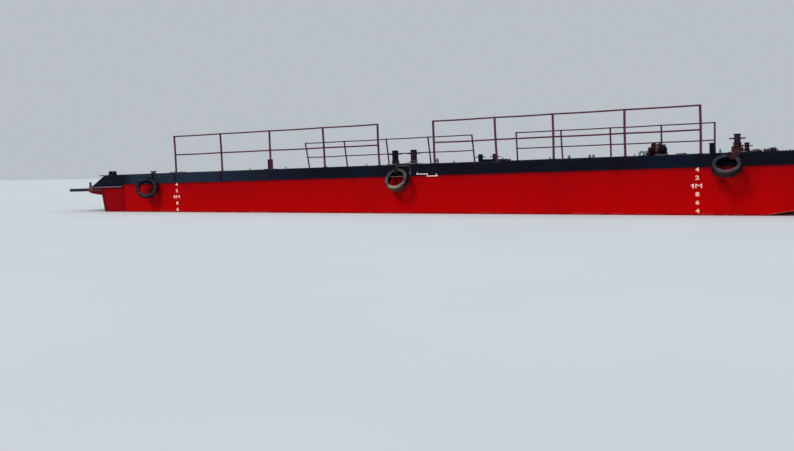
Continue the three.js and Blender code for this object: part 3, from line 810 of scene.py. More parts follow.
WORN_STEEL = HandledSteel("worn_steel")
ROPE = RopeFibre("mooring_rope")
ROPE_DARK = RopeFibre("tarred_rope", fibre=srgb(58, 54, 56), dirty=srgb(30, 28, 30))
ROPE_TAIL = RopeFibre("knotted_rope", fibre=srgb(96, 96, 102), dirty=srgb(44, 42, 46))
ROPE_TAN = RopeFibre("lashing_rope", fibre=srgb(158, 124, 98), dirty=srgb(104, 78, 66))
ROPE_BROWN = RopeFibre("winch_rope", fibre=srgb(100, 82, 86), dirty=srgb(62, 46, 52))
MARK_WHITE = MarkingPaint("marking_white")
TYRES = {
    "aft": TyreRubber("tyre_rubber_aft", bleached=srgb(56, 56, 72), dust=srgb(92, 72, 70), dusting=0.5),
    "middle": TyreRubber("tyre_rubber_middle", bleached=srgb(100, 92, 96), dust=srgb(168, 134, 124),
                         dusting=0.95),
    "fore": TyreRubber("tyre_rubber_fore", bleached=srgb(60, 64, 76), dust=srgb(108, 84, 92), dusting=0.7),
}


# Modelling moves


def take(*objects: Object) -> None:
    """Selects these objects alone, the first one active.

    Args:
        objects: The objects.
    """
    bpy.ops.object.select_all(action="DESELECT")
    for obj in objects:
        obj.select_set(True)
    bpy.context.view_layer.objects.active = objects[0]


@contextlib.contextmanager
def editing(obj: Object) -> Iterator[None]:
    """Opens an object's mesh with all of it selected, and closes it again.

    Args:
        obj: The object.

    Yields:
        Nothing, while the mesh is open.
    """
    take(obj)
    bpy.ops.object.mode_set(mode="EDIT")
    bpy.ops.mesh.select_all(action="SELECT")
    yield
    bpy.ops.object.mode_set(mode="OBJECT")


def settle(obj: Object) -> Object:
    """Puts an object's place, turn and size into its mesh.

    Args:
        obj: The object.

    Returns:
        The object.
    """
    take(obj)
    bpy.ops.object.transform_apply(location=True, rotation=True, scale=True)
    return obj


def smooth(obj: Object, angle: float = 38.0) -> Object:
    """Shades an object smoothly, apart from edges sharper than an angle in degrees.

    Args:
        obj: The object.
        angle: The angle.

    Returns:
        The object.
    """
    take(obj)
    bpy.ops.object.shade_smooth_by_angle(angle=math.radians(angle))
    return obj


def ease(obj: Object, width: float, rounds: int = 2, angle: float = 40.0) -> Object:
    """Rounds an object's edges.

    Args:
        obj: The object.
        width: The width of the rounding, in metres.
        rounds: How many faces make up the rounding.
        angle: Only edges sharper than this many degrees are rounded.

    Returns:
        The object.
    """
    take(obj)
    bpy.ops.object.modifier_add(type="BEVEL")
    bevel = obj.modifiers[-1]
    bevel.width, bevel.segments = width, rounds
    bevel.limit_method, bevel.angle_limit = "ANGLE", math.radians(angle)
    bpy.ops.object.modifier_apply(modifier=bevel.name)
    return smooth(obj)


def mend(obj: Object, gap: float = GAP) -> Object:
    """Merges doubled vertices and turns every face outwards.

    Args:
        obj: The object.
        gap: Vertices closer than this are merged.

    Returns:
        The object.
    """
    with editing(obj):
        bpy.ops.mesh.remove_doubles(threshold=gap)
        bpy.ops.mesh.normals_make_consistent(inside=False)
    return obj


def block(low: Point, high: Point, eased: float = 0.004, rounds: int = 2) -> Object:
    """A plate or block with rounded edges between two corners.

    Args:
        low: The corner with the lowest x, y and z.
        high: The corner with the highest.
        eased: The width of the rounding.
        rounds: How many faces make up the rounding.

    Returns:
        The block.
    """
    low, high = Vector(low), Vector(high)
    bpy.ops.mesh.primitive_cube_add(size=1.0, location=(low + high) / 2, scale=high - low)
    return ease(settle(bpy.context.object), eased, rounds)


def rod(start: Point, end: Point, radius: float, sides: int = 16, eased: float = 0.0) -> Object:
    """A round bar between two points, its rims rounded where eased is over 0.

    Args:
        start: The middle of one end.
        end: The middle of the other.
        radius: Its radius.
        sides: How many faces go round.
        eased: The width of the rims' rounding.

    Returns:
        The bar.
    """
    start, end = Vector(start), Vector(end)
    run = end - start
    bpy.ops.mesh.primitive_cylinder_add(
        vertices=sides, radius=radius, depth=run.length, location=(start + end) / 2,
        rotation=run.to_track_quat("Z", "Y").to_euler())
    obj = settle(bpy.context.object)
    return ease(obj, eased, 2, 60.0) if eased else smooth(obj, 50.0)


def hoop(centre: Point, axis: Point, radius: float, wire: float, steps: int = 16, sides: int = 6) -> Object:
    """A round ring, such as a weld bead or a lashing ring.

    Args:
        centre: Its middle.
        axis: The way that it faces.
        radius: Its radius.
        wire: The radius of its wire.
        steps: How many faces go round the ring.
        sides: How many go round the wire.

    Returns:
        The ring.
    """
    bpy.ops.mesh.primitive_torus_add(
        location=centre, rotation=Vector(axis).to_track_quat("Z", "Y").to_euler(),
        major_radius=radius, minor_radius=wire, major_segments=steps, minor_segments=sides)
    return smooth(settle(bpy.context.object), 80.0)


def turned(profile: Sequence[Point], steps: int = 32) -> Object:
    """A turned piece about +Z.

    Args:
        profile: Rows of radius and height, from one pole to the other or closed on itself.
        steps: How many faces go round.

    Returns:
        The piece, closed, its faces outwards.
    """
    bpy.ops.mesh.primitive_plane_add(size=0.01)
    obj = bpy.context.object
    with editing(obj):
        bpy.ops.mesh.merge(type="CENTER")
        (radius, height), *rest = profile
        bpy.ops.transform.translate(value=(radius, 0.0, height))
        for next_radius, next_height in rest:
            step = (next_radius - radius, 0.0, next_height - height)
            bpy.ops.mesh.extrude_vertices_move(TRANSFORM_OT_translate={"value": step})
            radius, height = next_radius, next_height
        bpy.ops.mesh.select_all(action="SELECT")
        bpy.ops.mesh.spin(steps=steps, angle=math.tau, center=(0.0, 0.0, 0.0), axis=(0.0, 0.0, 1.0))
    return smooth(mend(settle(obj)), 34.0)


def tube(points: np.ndarray | Sequence[Point], radius: float, rounds: int = 2,
         closed: bool = False) -> Object:
    """A round tube along a line of points.

    Args:
        points: The points, close together where the line bends.
        radius: The tube's radius, in metres.
        rounds: How round it is: 0 for 4 sides, 1 for 6 and 2 for 8.
        closed: True where the line closes on itself.

    Returns:
        The tube, as a mesh with closed ends.
    """
    points = np.asarray([tuple(point) for point in points], float)
    bpy.ops.curve.primitive_nurbs_path_add()
    obj = bpy.context.object
    line = obj.data
    line.splines.clear()
    run = line.splines.new("POLY")
    run.points.add(len(points) - 1)
    run.points.foreach_set("co", np.c_[points, np.ones(len(points))].ravel())
    run.use_cyclic_u = closed
    line.dimensions = "3D"
    line.bevel_depth, line.bevel_resolution = radius, rounds
    line.use_fill_caps = not closed
    bpy.ops.object.convert(target="MESH")
    return smooth(mend(bpy.context.object), 60.0)


def sink(obj: Object, chosen: Callable[[Vector], bool], depth: float) -> Object:
    """Sinks some of a piece's faces straight in, each patch with its own walls.

    Args:
        obj: The piece.
        chosen: Tells from the middle of a face whether it sinks.
        depth: How far they go in.

    Returns:
        The piece.
    """
    with editing(obj):
        bpy.ops.mesh.select_mode(type="FACE")
        bpy.ops.mesh.select_all(action="DESELECT")
        mesh = bmesh.from_edit_mesh(obj.data)
        for face in mesh.faces:
            face.select = chosen(face.calc_center_median())
        mesh.select_flush_mode()
        bmesh.update_edit_mesh(obj.data)
        bpy.ops.mesh.extrude_region_shrink_fatten(TRANSFORM_OT_shrink_fatten={"value": -depth})
        bpy.ops.mesh.select_mode(type="VERT")
    return obj


def at(*place: float) -> Matrix:
    """A move without a turn."""
    return Matrix.Translation(place)


def spun(degrees: float, axis: str) -> Matrix:
    """A turn about an axis."""
    return Matrix.Rotation(math.radians(degrees), 4, axis)


def moved(obj: Object, move: Matrix) -> Object:
    """Moves an object's mesh."""
    obj.data.transform(move)
    return obj


def copy_of(obj: Object) -> Object:
    """A copy with its own mesh.

    Args:
        obj: The object.

    Returns:
        The copy.
    """
    copy = obj.copy()
    copy.data = obj.data.copy()
    bpy.context.scene.collection.objects.link(copy)
    return copy


def scatter(pattern: Object, moves: Iterable[Matrix]) -> list[Object]:
    """Copies of a pattern at each place. The pattern itself is taken away.

    Args:
        pattern: The object to copy.
        moves: One move a copy.

    Returns:
        The copies.
    """
    copies = [moved(copy_of(pattern), move) for move in moves]
    bpy.data.objects.remove(pattern)
    return copies


def joined(parts: Sequence[Object]) -> Object:
    """Joins parts into one object.

    Args:
        parts: The parts.

    Returns:
        The object.
    """
    take(*parts)
    if len(parts) > 1:
        bpy.ops.object.join()
    return bpy.context.view_layer.objects.active


def dress(obj: Object, finish: Finish) -> Object:
    """Gives an object one finish all over.

    Args:
        obj: The object.
        finish: The finish.

    Returns:
        The object.
    """
    obj.data.materials.clear()
    obj.data.materials.append(material_of(finish))
    return obj


def deliver(name: str, obj: Object, finish: Finish | None = None,
            body: Body = Body.BARGE, replaces: Sequence[str] = ()) -> Object:
    """Names a finished piece, seats it on its body and reports it.

    Args:
        name: The piece's name.
        obj: The piece.
        finish: Its finish, or None where its parts have theirs already.
        body: The body that it rides on.
        replaces: The frame's nodes that it stands for.

    Returns:
        The piece.
    """
    obj.name = obj.data.name = name
    if finish is not None:
        dress(obj, finish)
    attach(obj, body.value)
    if replaces:
        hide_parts(*replaces)
    LOG.info("%s: %d faces, on %s", name, len(obj.data.polygons), body.value)
    return obj


def paint_node(name: str, finish: Finish, eased: float = 0.0) -> None:
    """Paints a node of the frame that stays, and rounds its edges by modifiers that leave its mesh alone.

    Args:
        name: The node.
        finish: Its finish.
        eased: The width of the rounding, or 0 for none.
    """
    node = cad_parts[name]
    node.material_slots[0].material = material_of(finish)
    if eased:
        weld = node.modifiers.new("Weld", "WELD")
        weld.merge_threshold = GAP
        bevel = node.modifiers.new("Bevel", "BEVEL")
        bevel.width, bevel.segments = eased, 2
        bevel.limit_method, bevel.angle_limit = "ANGLE", math.radians(20)
    LOG.info("%s: painted %s", name, finish.name)


def recast(node: str, eased: float, rounds: int = 2) -> Object:
    """A copy of a frame's node with its flat faces made whole and its edges rounded.

    Args:
        node: The node.
        eased: The width of the rounding.
        rounds: How many faces make up the rounding.

    Returns:
        The copy, which belongs to no body yet.
    """
    copy = copy_of(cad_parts[node])
    for key in list(copy.keys()):
        del copy[key]
    copy.parent = None
    with editing(copy):
        bpy.ops.mesh.remove_doubles(threshold=GAP)
        bpy.ops.mesh.dissolve_limited(angle_limit=math.radians(1.0))
    return ease(copy, eased, rounds, 35.0)


# Lines: ropes and chains


def eased_line(corners: Sequence[Point], step: float) -> np.ndarray:
    """A smooth line through given points.

    Args:
        corners: The points.
        step: The distance between the line's own points.

    Returns:
        The line's points, one row each.
    """
    held = np.asarray([tuple(corner) for corner in corners], float)
    held = np.vstack([2 * held[0] - held[1], held, 2 * held[-1] - held[-2]])
    share = np.linspace(0, 1, 24, endpoint=False)[:, None]
    rows = []
    for a, b, c, d in zip(held[:-3], held[1:-2], held[2:-1], held[3:]):
        rows.append(0.5 * (2 * b + (c - a) * share + (2 * a - 5 * b + 4 * c - d) * share ** 2
                           + (3 * b - a - 3 * c + d) * share ** 3))
    line = np.vstack([*rows, held[-2:-1]])
    way = np.r_[0, np.cumsum(np.linalg.norm(np.diff(line, axis=0), axis=1))]
    marks = np.linspace(0, way[-1], max(2, round(way[-1] / step)) + 1)
    return np.stack([np.interp(marks, way, line[:, axis]) for axis in range(3)], axis=1)


def cross_ways(line: np.ndarray) -> tuple[np.ndarray, np.ndarray, np.ndarray]:
    """The direction of a line at each point, and two ways across it that don't twist.

    Args:
        line: The line's points.

    Returns:
        The direction, the first way across and the second.
    """
    ahead = np.gradient(line, axis=0)
    ahead /= np.linalg.norm(ahead, axis=1)[:, None]
    start = np.array([0.0, 0.0, 1.0]) if abs(ahead[0][2]) < 0.9 else np.array([1.0, 0.0, 0.0])
    across = [start]
    for way in ahead:
        side = across[-1] - way * (across[-1] @ way)
        across.append(side / np.linalg.norm(side))
    across = np.array(across[1:])
    return ahead, across, np.cross(ahead, across)


def laid_rope(corners: Sequence[Point], thickness: float, strands: int = 3) -> Object:
    """A rope of strands laid round each other along a smooth line.

    Args:
        corners: Points that the rope goes through.
        thickness: Its diameter.
        strands: How many strands it has.

    Returns:
        The rope.
    """
    lay = thickness * 3.4
    line = eased_line(corners, lay / 7)
    _, one, other = cross_ways(line)
    turns = np.linalg.norm(np.diff(line, axis=0), axis=1).cumsum()
    angle = np.r_[0, turns] / lay * math.tau
    offset = thickness * 0.25
    parts = []
    for strand in range(strands):
        phase = (angle + math.tau * strand / strands)[:, None]
        parts.append(tube(line + offset * (np.cos(phase) * one + np.sin(phase) * other), thickness * 0.28, 1))
    return joined(parts)


def strung_chain(corners: Sequence[Point], wire: float, pitch: float) -> Object:
    """A chain of oval links along a smooth line, each turned a quarter from the last.

    Args:
        corners: Points that the chain goes through.
        wire: The diameter of the links' wire.
        pitch: The inner length of a link.

    Returns:
        The chain.
    """
    bend = wire * 1.15
    bpy.ops.mesh.primitive_torus_add(
        major_radius=bend, minor_radius=wire / 2, major_segments=14, minor_segments=6)
    link = bpy.context.object
    with editing(link):
        for sign in (-1, 1):
            bpy.ops.mesh.select_all(action="DESELECT")
            mesh = bmesh.from_edit_mesh(link.data)
            for vertex in mesh.verts:
                vertex.select = vertex.co.x * sign > bend * 0.05
            mesh.select_flush(True)
            bmesh.update_edit_mesh(link.data)
            bpy.ops.transform.translate(value=(sign * ((pitch + wire) / 2 - bend), 0.0, 0.0))
    smooth(link, 80.0)
    line = eased_line(corners, pitch)
    moves = []
    for count, (place, ahead, one, other) in enumerate(zip(line, *cross_ways(line))):
        basis = Matrix((ahead, one, other)).transposed().to_4x4()
        moves.append(at(*place) @ basis @ Matrix.Rotation(math.pi / 2 * (count % 2) + 0.3, 4, "X"))
    return joined(scatter(link, moves))


def coil_round(centre: Point, radius: float, low: float, high: float, turns: float,
               start: float) -> list[Point]:
    """Points of a winding about an upright post.

    Args:
        centre: The post's x and y.
        radius: The winding's radius.
        low: The height where it starts.
        high: The height where it ends.
        turns: How many turns it has, negative to wind clockwise.
        start: The angle where it starts, in degrees.

    Returns:
        The points.
    """
    count = max(6, round(abs(turns) * 12))
    points = []
    for step in range(count + 1):
        share = step / count
        angle = math.radians(start) + math.tau * turns * share
        points.append((centre[0] + radius * math.cos(angle), centre[1] + radius * math.sin(angle),
                       low + (high - low) * share))
    return points


# Small parts that several sub-assemblies use


def step_of(place: Vector, steps: int) -> int:
    """Which of a turned piece's steps a place lies in."""
    return int((math.atan2(place.y, place.x) / math.tau % 1.0) * steps)


def bolt(radius: float) -> Object:
    """A hexagon bolt head on its washer, standing on z 0.

    Args:
        radius: The head's radius.

    Returns:
        The bolt.
    """
    head = rod((0, 0, radius * 0.2), (0, 0, radius * 1.3), radius, 6, radius * 0.12)
    washer = rod((0, 0, 0), (0, 0, radius * 0.3), radius * 1.45, 14, radius * 0.08)
    tip = rod((0, 0, radius), (0, 0, radius * 1.75), radius * 0.52, 10, radius * 0.1)
    return joined([head, washer, tip])


def bolt_circle(centre: Point, radius: float, count: int, size: float) -> Object:
    """A ring of bolts that stand upright round a centre.

    Args:
        centre: The ring's middle, on the face that they stand on.
        radius: The ring's radius.
        count: How many bolts there are.
        size: The radius of a bolt's head.

    Returns:
        The bolts, as one object.
    """
    angles = [math.tau * (number + 0.5) / count for number in range(count)]
    moves = [at(centre[0] + radius * math.cos(angle), centre[1] + radius * math.sin(angle), centre[2])
             @ Matrix.Rotation(angle * 3.7, 4, "Z") for angle in angles]
    return joined(scatter(bolt(size), moves))


def weld_line(points: Sequence[Point], radius: float = 0.005) -> Object:
    """A hand-laid weld bead, a little uneven, along straight stretches between points.

    Args:
        points: The ends of the stretches.
        radius: The bead's radius.

    Returns:
        The bead.
    """
    bead = random.Random(len(points) * 7919 + int(abs(points[0][0]) * 1000))
    line = []
    for start, end in zip(points[:-1], points[1:]):
        start, end = Vector(start), Vector(end)
        count = max(2, round((end - start).length / 0.12))
        line += [start.lerp(end, step / count) for step in range(count)]
    line.append(Vector(points[-1]))
    wander = radius * 0.22
    uneven = [[part + bead.uniform(-wander, wander) for part in place] for place in line]
    return tube(uneven, radius, 1)


def weld_round(low: Point, high: Point, z: float) -> Object:
    """A weld bead at one height round the rectangle between two corners.

    Args:
        low: The corner with the lowest x and y.
        high: The corner with the highest.
        z: The bead's height.

    Returns:
        The bead.
    """
    (start, right), (end, left) = low[:2], high[:2]
    corners = [(start, right, z), (end, right, z), (end, left, z), (start, left, z), (start, right, z)]
    return weld_line(corners, 0.008)


def welded_foot(x: float, y: float, z: float, radius: float) -> Object:
    """The weld collar where an upright pipe meets a plate whose top is at z.

    Args:
        x: The pipe's place.
        y: The pipe's place.
        z: The height of the plate's top.
        radius: The pipe's radius.

    Returns:
        The collar.
    """
    profile = [(radius - 0.004, -0.002), (radius + 0.009, -0.002), (radius + 0.007, 0.003),
               (radius + 0.002, 0.009), (radius - 0.004, 0.011), (radius - 0.004, -0.002)]
    return moved(turned(profile, 20), at(x, y, z))


# Sub-assemblies


@dataclass
class Hull:
    """The shell and the deck: their paint, seams, draught numerals and the step mark on the belt."""

    numeral_station: float = 7.860
    numeral_height: float = 0.100
    numeral_proud: float = 0.003
    column_start: float = -0.050
    fore_marks: tuple[tuple[str, float], ...] = (
        ("4", 1.4), ("2", 1.2), ("1M", 1.0), ("8", 0.8), ("6", 0.6), ("4", 0.4))
    aft_marks: tuple[tuple[str, float], ...] = (("4", 1.4), ("2", 1.2), ("1M", 1.0), ("8", 0.8), ("6", 0.6))
    side_butts: tuple[float, ...] = (-7.6, -4.0, -0.4, 3.2, 6.8)
    side_seam: float = 0.92
    deck_seam: float = 2.62
    deck_butts: tuple[float, ...] = (-10.0, -7.6, -5.2, -2.8, -0.4, 4.7, 7.1, 9.5, 11.6)

    def build(self) -> None:
        """Paints the nodes that stay and makes what is fixed to them."""
        for name in ("hull", "skeg_starboard", "skeg_port"):
            paint_node(name, HULL_RED)
        for name in ("belt_starboard", "belt_port", "headlog", "stern_slope_plate"):
            paint_node(name, BELT_BLACK, 0.004)
        paint_node("main_deck", DECK_PLATE)
        paint_node("cargo_plate", CARGO_PLATE, 0.003)
        for side in Side:
            self._seams(side)
            self._numerals(side)
            self._step_mark(side)
            self._belt_edges(side)
        self._deck_seams()

    def _seams(self, side: Side) -> None:
        """Lays the upright butts and the long seam of one side's plating.

        Args:
            side: The side of the barge.
        """
        y = side.value * (SIDE - 0.001)
        beads = [weld_line([(x, y, 0.16), (x, y, BELT_FOOT)], 0.004) for x in self.side_butts]
        ends = (on_frame(-10.90), on_frame(12.60))
        beads.append(weld_line([(x, y, self.side_seam) for x in ends], 0.004))
        deliver(f"side_seams_{side.word}", joined(beads), HULL_RED)

    def _numerals(self, side: Side) -> None:
        """Makes the draught numerals of one side, each with its foot at the draught that it states.

        Args:
            side: The side of the barge.
        """
        columns = ((on_frame(self.numeral_station), self.fore_marks),
                   (on_frame(-self.numeral_station), self.aft_marks))
        for (x, marks), end in zip(columns, ("fore", "aft")):
            parts = [self._numeral(side, text, x, foot) for text, foot in marks]
            deliver(f"draught_marks_{end}_{side.word}", joined(parts), MARK_WHITE)

    def _numeral(self, side: Side, text: str, x: float, foot: float) -> Object:
        """Makes one numeral.

        Args:
            side: The side that it is on.
            text: The numeral. Its last sign starts at the column's line, with the rest before it.
            x: The column's place.
            foot: The height of its foot.

        Returns:
            The numeral as a mesh.
        """
        upright = spun(90, "X")
        face = spun(180, "Z") if side is Side.PORT else Matrix.Identity(4)
        seat = at(x, side.value * SIDE, foot) @ face @ upright
        signs = []
        if text.startswith("1"):
            proud, thinner = self.numeral_proud, self.numeral_proud * 0.8
            stroke = block((-0.118, 0.0, -proud), (-0.086, self.numeral_height, proud), 0.001, 1)
            flag = block((-0.028, -0.011, -thinner), (0.028, 0.011, thinner), 0.001, 1)
            signs = [stroke, moved(flag, at(-0.130, self.numeral_height - 0.030, 0) @ spun(37.24, "Z"))]
        sign = text[-1]
        bpy.ops.object.text_add()
        letter = bpy.context.object.data
        letter.body, letter.extrude, letter.offset = sign, 0.5, 0.0 if sign == "M" else 0.020
        bpy.ops.object.convert(target="MESH")
        obj = mend(bpy.context.object, 2e-4)
        corners = np.array([vertex.co for vertex in obj.data.vertices])
        low, high = corners.min(axis=0), corners.max(axis=0)
        wide = (0.150 if sign == "M" else 0.088) / (high[0] - low[0])
        scale = self.numeral_height / (high[1] - low[1])
        fit = Matrix.Diagonal((wide, scale, self.numeral_proud * 2.0, 1.0)) @ at(-low[0], -low[1], 0)
        moved(obj, at(self.column_start, 0, 0) @ fit)
        return moved(joined([*signs, smooth(obj, 30.0)]), seat)

    def _step_mark(self, side: Side) -> None:
        """Makes the white stepped line at the belt's foot, by the middle tyre.

        Args:
            side: The side of the barge.
        """
        high_z, low_z, stroke = 1.530, 1.468, 0.024
        y = side.value * (BELT - 0.0005)
        back = y + side.value * 0.003

        def strip(start: float, end: float, foot: float, top: float, out: float = 0.0) -> Object:
            """One stroke of the mark, standing out by out where it lies off the belt."""
            near, far = sorted((y - side.value * out, back))
            return block((on_frame(start), near, foot), (on_frame(end), far, top), 0.001, 1)

        parts = [
            strip(0.510, 0.850, high_z, high_z + stroke),
            strip(0.826, 0.850, low_z + stroke, high_z, 0.012),
            strip(0.826, 1.150, low_z, low_z + stroke, 0.012),
            strip(0.532, 0.552, high_z + stroke, high_z + 0.062),
            strip(1.092, 1.120, low_z + stroke, low_z + 0.070, 0.012),
        ]
        deliver(f"belt_step_mark_{side.word}", joined(parts), MARK_WHITE)

    def _belt_edges(self, side: Side) -> None:
        """Makes the welds along the belt's foot and the flat straps below each rail post.

        Args:
            side: The side of the barge.
        """
        y = side.value * (BELT - 0.004)
        low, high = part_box(f"belt_{side.word}")
        step_x = on_frame(BELT_STEP)
        foot = weld_line([(step_x, y, BELT_FOOT - 0.002), (high.x - 0.01, y, BELT_FOOT - 0.002)], 0.006)
        corner = (step_x, y, low.z + 0.001)
        step = weld_line([(low.x + 0.05, y, low.z + 0.001), corner, (step_x, y, BELT_FOOT)], 0.006)
        deliver(f"belt_weld_{side.word}", joined([foot, step]), BELT_BLACK)
        near, far = sorted((side.value * (BELT - 0.003), side.value * (BELT + 0.006)))
        straps = [block((x - 0.028, near, BELT_FOOT + 0.03), (x + 0.028, far, DECK - 0.012), 0.003)
                  for x in Rails.feet(side)]
        deliver(f"belt_straps_{side.word}", joined(straps), STRAP_RED)

    def _deck_seams(self) -> None:
        """Lays the butts of the deck plating and the weld round the cargo plate."""
        reach = SIDE - 0.03
        start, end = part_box("main_deck")
        beads = [weld_line([(x, -reach, DECK), (x, reach, DECK)]) for x in self.deck_butts]
        for y in (-self.deck_seam, self.deck_seam):
            beads.append(weld_line([(start.x + 0.05, y, DECK), (end.x - 0.05, y, DECK)]))
        beads.append(weld_round(*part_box("cargo_plate"), DECK + BEAD_UP))
        deliver("deck_seams", joined(beads), DECK_PLATE)


@dataclass
class Stern:
    """The ledge, the platform on its beams with a stub post at each corner, and the steps up the transom."""

    step_heights: tuple[float, ...] = (0.72, 0.98)
    step_y: float = 1.20
    step_half: float = 0.20
    step_out: float = 0.11
    step_wire: float = 0.012
    bitt_station: float = -11.70
    bitt_y: float = 4.10

    def build(self) -> None:
        """Takes over the ledge and the platform and adds the steps and the rope at each stub post."""
        deliver("stern_ledge_rubbed", recast("stern_ledge", 0.006), LEDGE_PALE,
                replaces=["stern_ledge"])
        deliver("stern_platform_tread", recast("stern_platform", 0.004), SLATE,
                replaces=["stern_platform"])
        steps = [self._step(y, z) for y in (-self.step_y, self.step_y) for z in self.step_heights]
        deliver("transom_steps", joined(steps), HULL_RED)
        for side in Side:
            centre = (on_frame(self.bitt_station), side.value * self.bitt_y)
            turns = coil_round(centre, 0.046, TREAD + 0.013, TREAD + 0.085, 3.2, 30.0)
            tail = [(centre[0] + 0.12, centre[1] - side.value * 0.10, TREAD + 0.014),
                    (centre[0] + 0.30, centre[1] - side.value * 0.16, TREAD + 0.014)]
            deliver(f"bitt_rope_{side.word}", laid_rope([*tail[::-1], *turns], 0.024), ROPE)

    def _step(self, y: float, z: float) -> Object:
        """Makes one bent bar step on the leaning transom.

        Args:
            y: The middle of the step.
            z: Its height.

        Returns:
            The step.
        """
        lean = (TRANSOM - TRANSOM_FOOT) / (TRANSOM_Z - TRANSOM_FOOT_Z)
        back = on_frame(TRANSOM_FOOT + (z - TRANSOM_FOOT_Z) * lean)
        out, half = back - self.step_out, self.step_half
        return tube(eased_line([
            (back + 0.01, y - half, z), (back - 0.03, y - half, z), (out, y - half, z),
            (out, y - half + 0.03, z), (out, y, z), (out, y + half - 0.03, z), (out, y + half, z),
            (back - 0.03, y + half, z), (back + 0.01, y + half, z)], 0.02), self.step_wire)


@dataclass
class Rails:
    """Four sections of welded pipe rail, their posts knocked out of line."""

    top: float = 1.160
    middle: float = 0.573
    post_radius: float = 0.030
    rail_radius: float = 0.021
    sag: float = 0.010

    # Rows of one [foot, head] pair of stations a post
    POSTS = {
        (Side.STARBOARD, "aft"): ((-7.930, -7.950), (-6.120, -6.145), (-4.310, -4.330), (-2.445, -2.480),
                                  (-0.665, -0.690)),
        (Side.STARBOARD, "fore"): ((1.030, 1.010), (2.820, 2.775), (4.350, 4.340), (6.160, 6.150),
                                   (7.930, 7.920)),
        (Side.PORT, "aft"): ((-7.840, -8.020), (-6.060, -6.190), (-4.185, -4.300), (-2.395, -2.510),
                             (-0.610, -0.710)),
        (Side.PORT, "fore"): ((1.060, 1.020), (2.750, 2.690), (4.460, 4.440), (6.165, 6.160), (7.885, 7.880)),
    }

    @classmethod
    def feet(cls, side: Side) -> list[float]:
        """The places of the posts' feet on one side."""
        return [on_frame(foot) for (where, _), posts in cls.POSTS.items() if where is side
                for foot, _ in posts]

    def build(self) -> None:
        """Makes each section."""
        for (side, end), posts in self.POSTS.items():
            self._section(side, end, posts)

    def _section(self, side: Side, end: str, posts: Sequence[Point]) -> None:
        """Makes one section of rail.

        Args:
            side: Its side.
            end: Its end of the barge.
            posts: The stations of each post's foot and head.
        """
        y = side.value * RAIL_Y
        bend = random.Random(f"{side.word} {end}")
        feet = [Vector((on_frame(foot), y, DECK)) for foot, _ in posts]
        heads = [Vector((on_frame(head), y, DECK + self.top)) for _, head in posts]
        middles = [foot.lerp(head, self.middle / self.top) for foot, head in zip(feet, heads)]
        parts = []
        for foot, head in zip(feet, heads):
            bow = Vector((bend.uniform(-0.008, 0.008), bend.uniform(-0.006, 0.006), 0))
            lean = (head - foot).normalized()
            tip = head + lean * 0.014
            knocked = [foot + lean * 0.006, foot.lerp(tip, 0.3) + bow * 0.8, foot.lerp(tip, 0.6) + bow, tip]
            parts += [tube(knocked, self.post_radius, 6), self._cap(tip, lean)]
            plate = block((foot.x - 0.055, y - 0.055, DECK), (foot.x + 0.055, y + 0.055, DECK + 0.008), 0.002)
            parts += [plate, welded_foot(foot.x, y, DECK + 0.008, self.post_radius)]
        for run in (heads, middles):
            parts += self._pipe_run(run, bend)
        deliver(f"rail_pipes_{side.word}_{end}", joined(parts), RAIL_RED,
                replaces=[f"rail_{side.word}_{end}"])

    def _cap(self, tip: Vector, lean: Vector) -> Object:
        """The welded cap on a post, a shallow dome.

        Args:
            tip: The middle of the post's top.
            lean: The post's direction.

        Returns:
            The cap.
        """
        r = self.post_radius
        dome = turned([(0, -0.006), (r, -0.006), (r + 0.001, 0.0), (r * 0.8, 0.004), (r * 0.4, 0.0055),
                       (0, 0.006)], 16)
        return moved(dome, at(*tip) @ lean.to_track_quat("Z", "Y").to_matrix().to_4x4())

    def _pipe_run(self, joints: Sequence[Vector], bend: random.Random) -> list[Object]:
        """Makes one rail through its posts, sagging a little in each bay, with a bead at each joint.

        Args:
            joints: Where it meets the posts.
            bend: The source of its unevenness.

        Returns:
            The pipe and the beads.
        """
        line = []
        for start, end in zip(joints[:-1], joints[1:]):
            drop = bend.uniform(0.2, 1.0) * self.sag
            aside = bend.uniform(-0.6, 0.6) * self.sag
            for step in range(6):
                share = step / 6
                curve = math.sin(math.pi * share)
                line.append(start.lerp(end, share) + Vector((0, aside * curve, -drop * curve)))
        line.append(joints[-1])
        beads = []
        for joint in joints:
            for sign in (-1, 1):
                beads.append(hoop(joint + Vector((sign * (self.post_radius - 0.001), 0, 0)), (1, 0, 0),
                                  self.rail_radius + 0.002, 0.005, 12, 5))
        for bead in (beads[0], beads[-1]):
            bpy.data.objects.remove(bead)
        return [tube(line, self.rail_radius, 4), *beads[1:-1]]


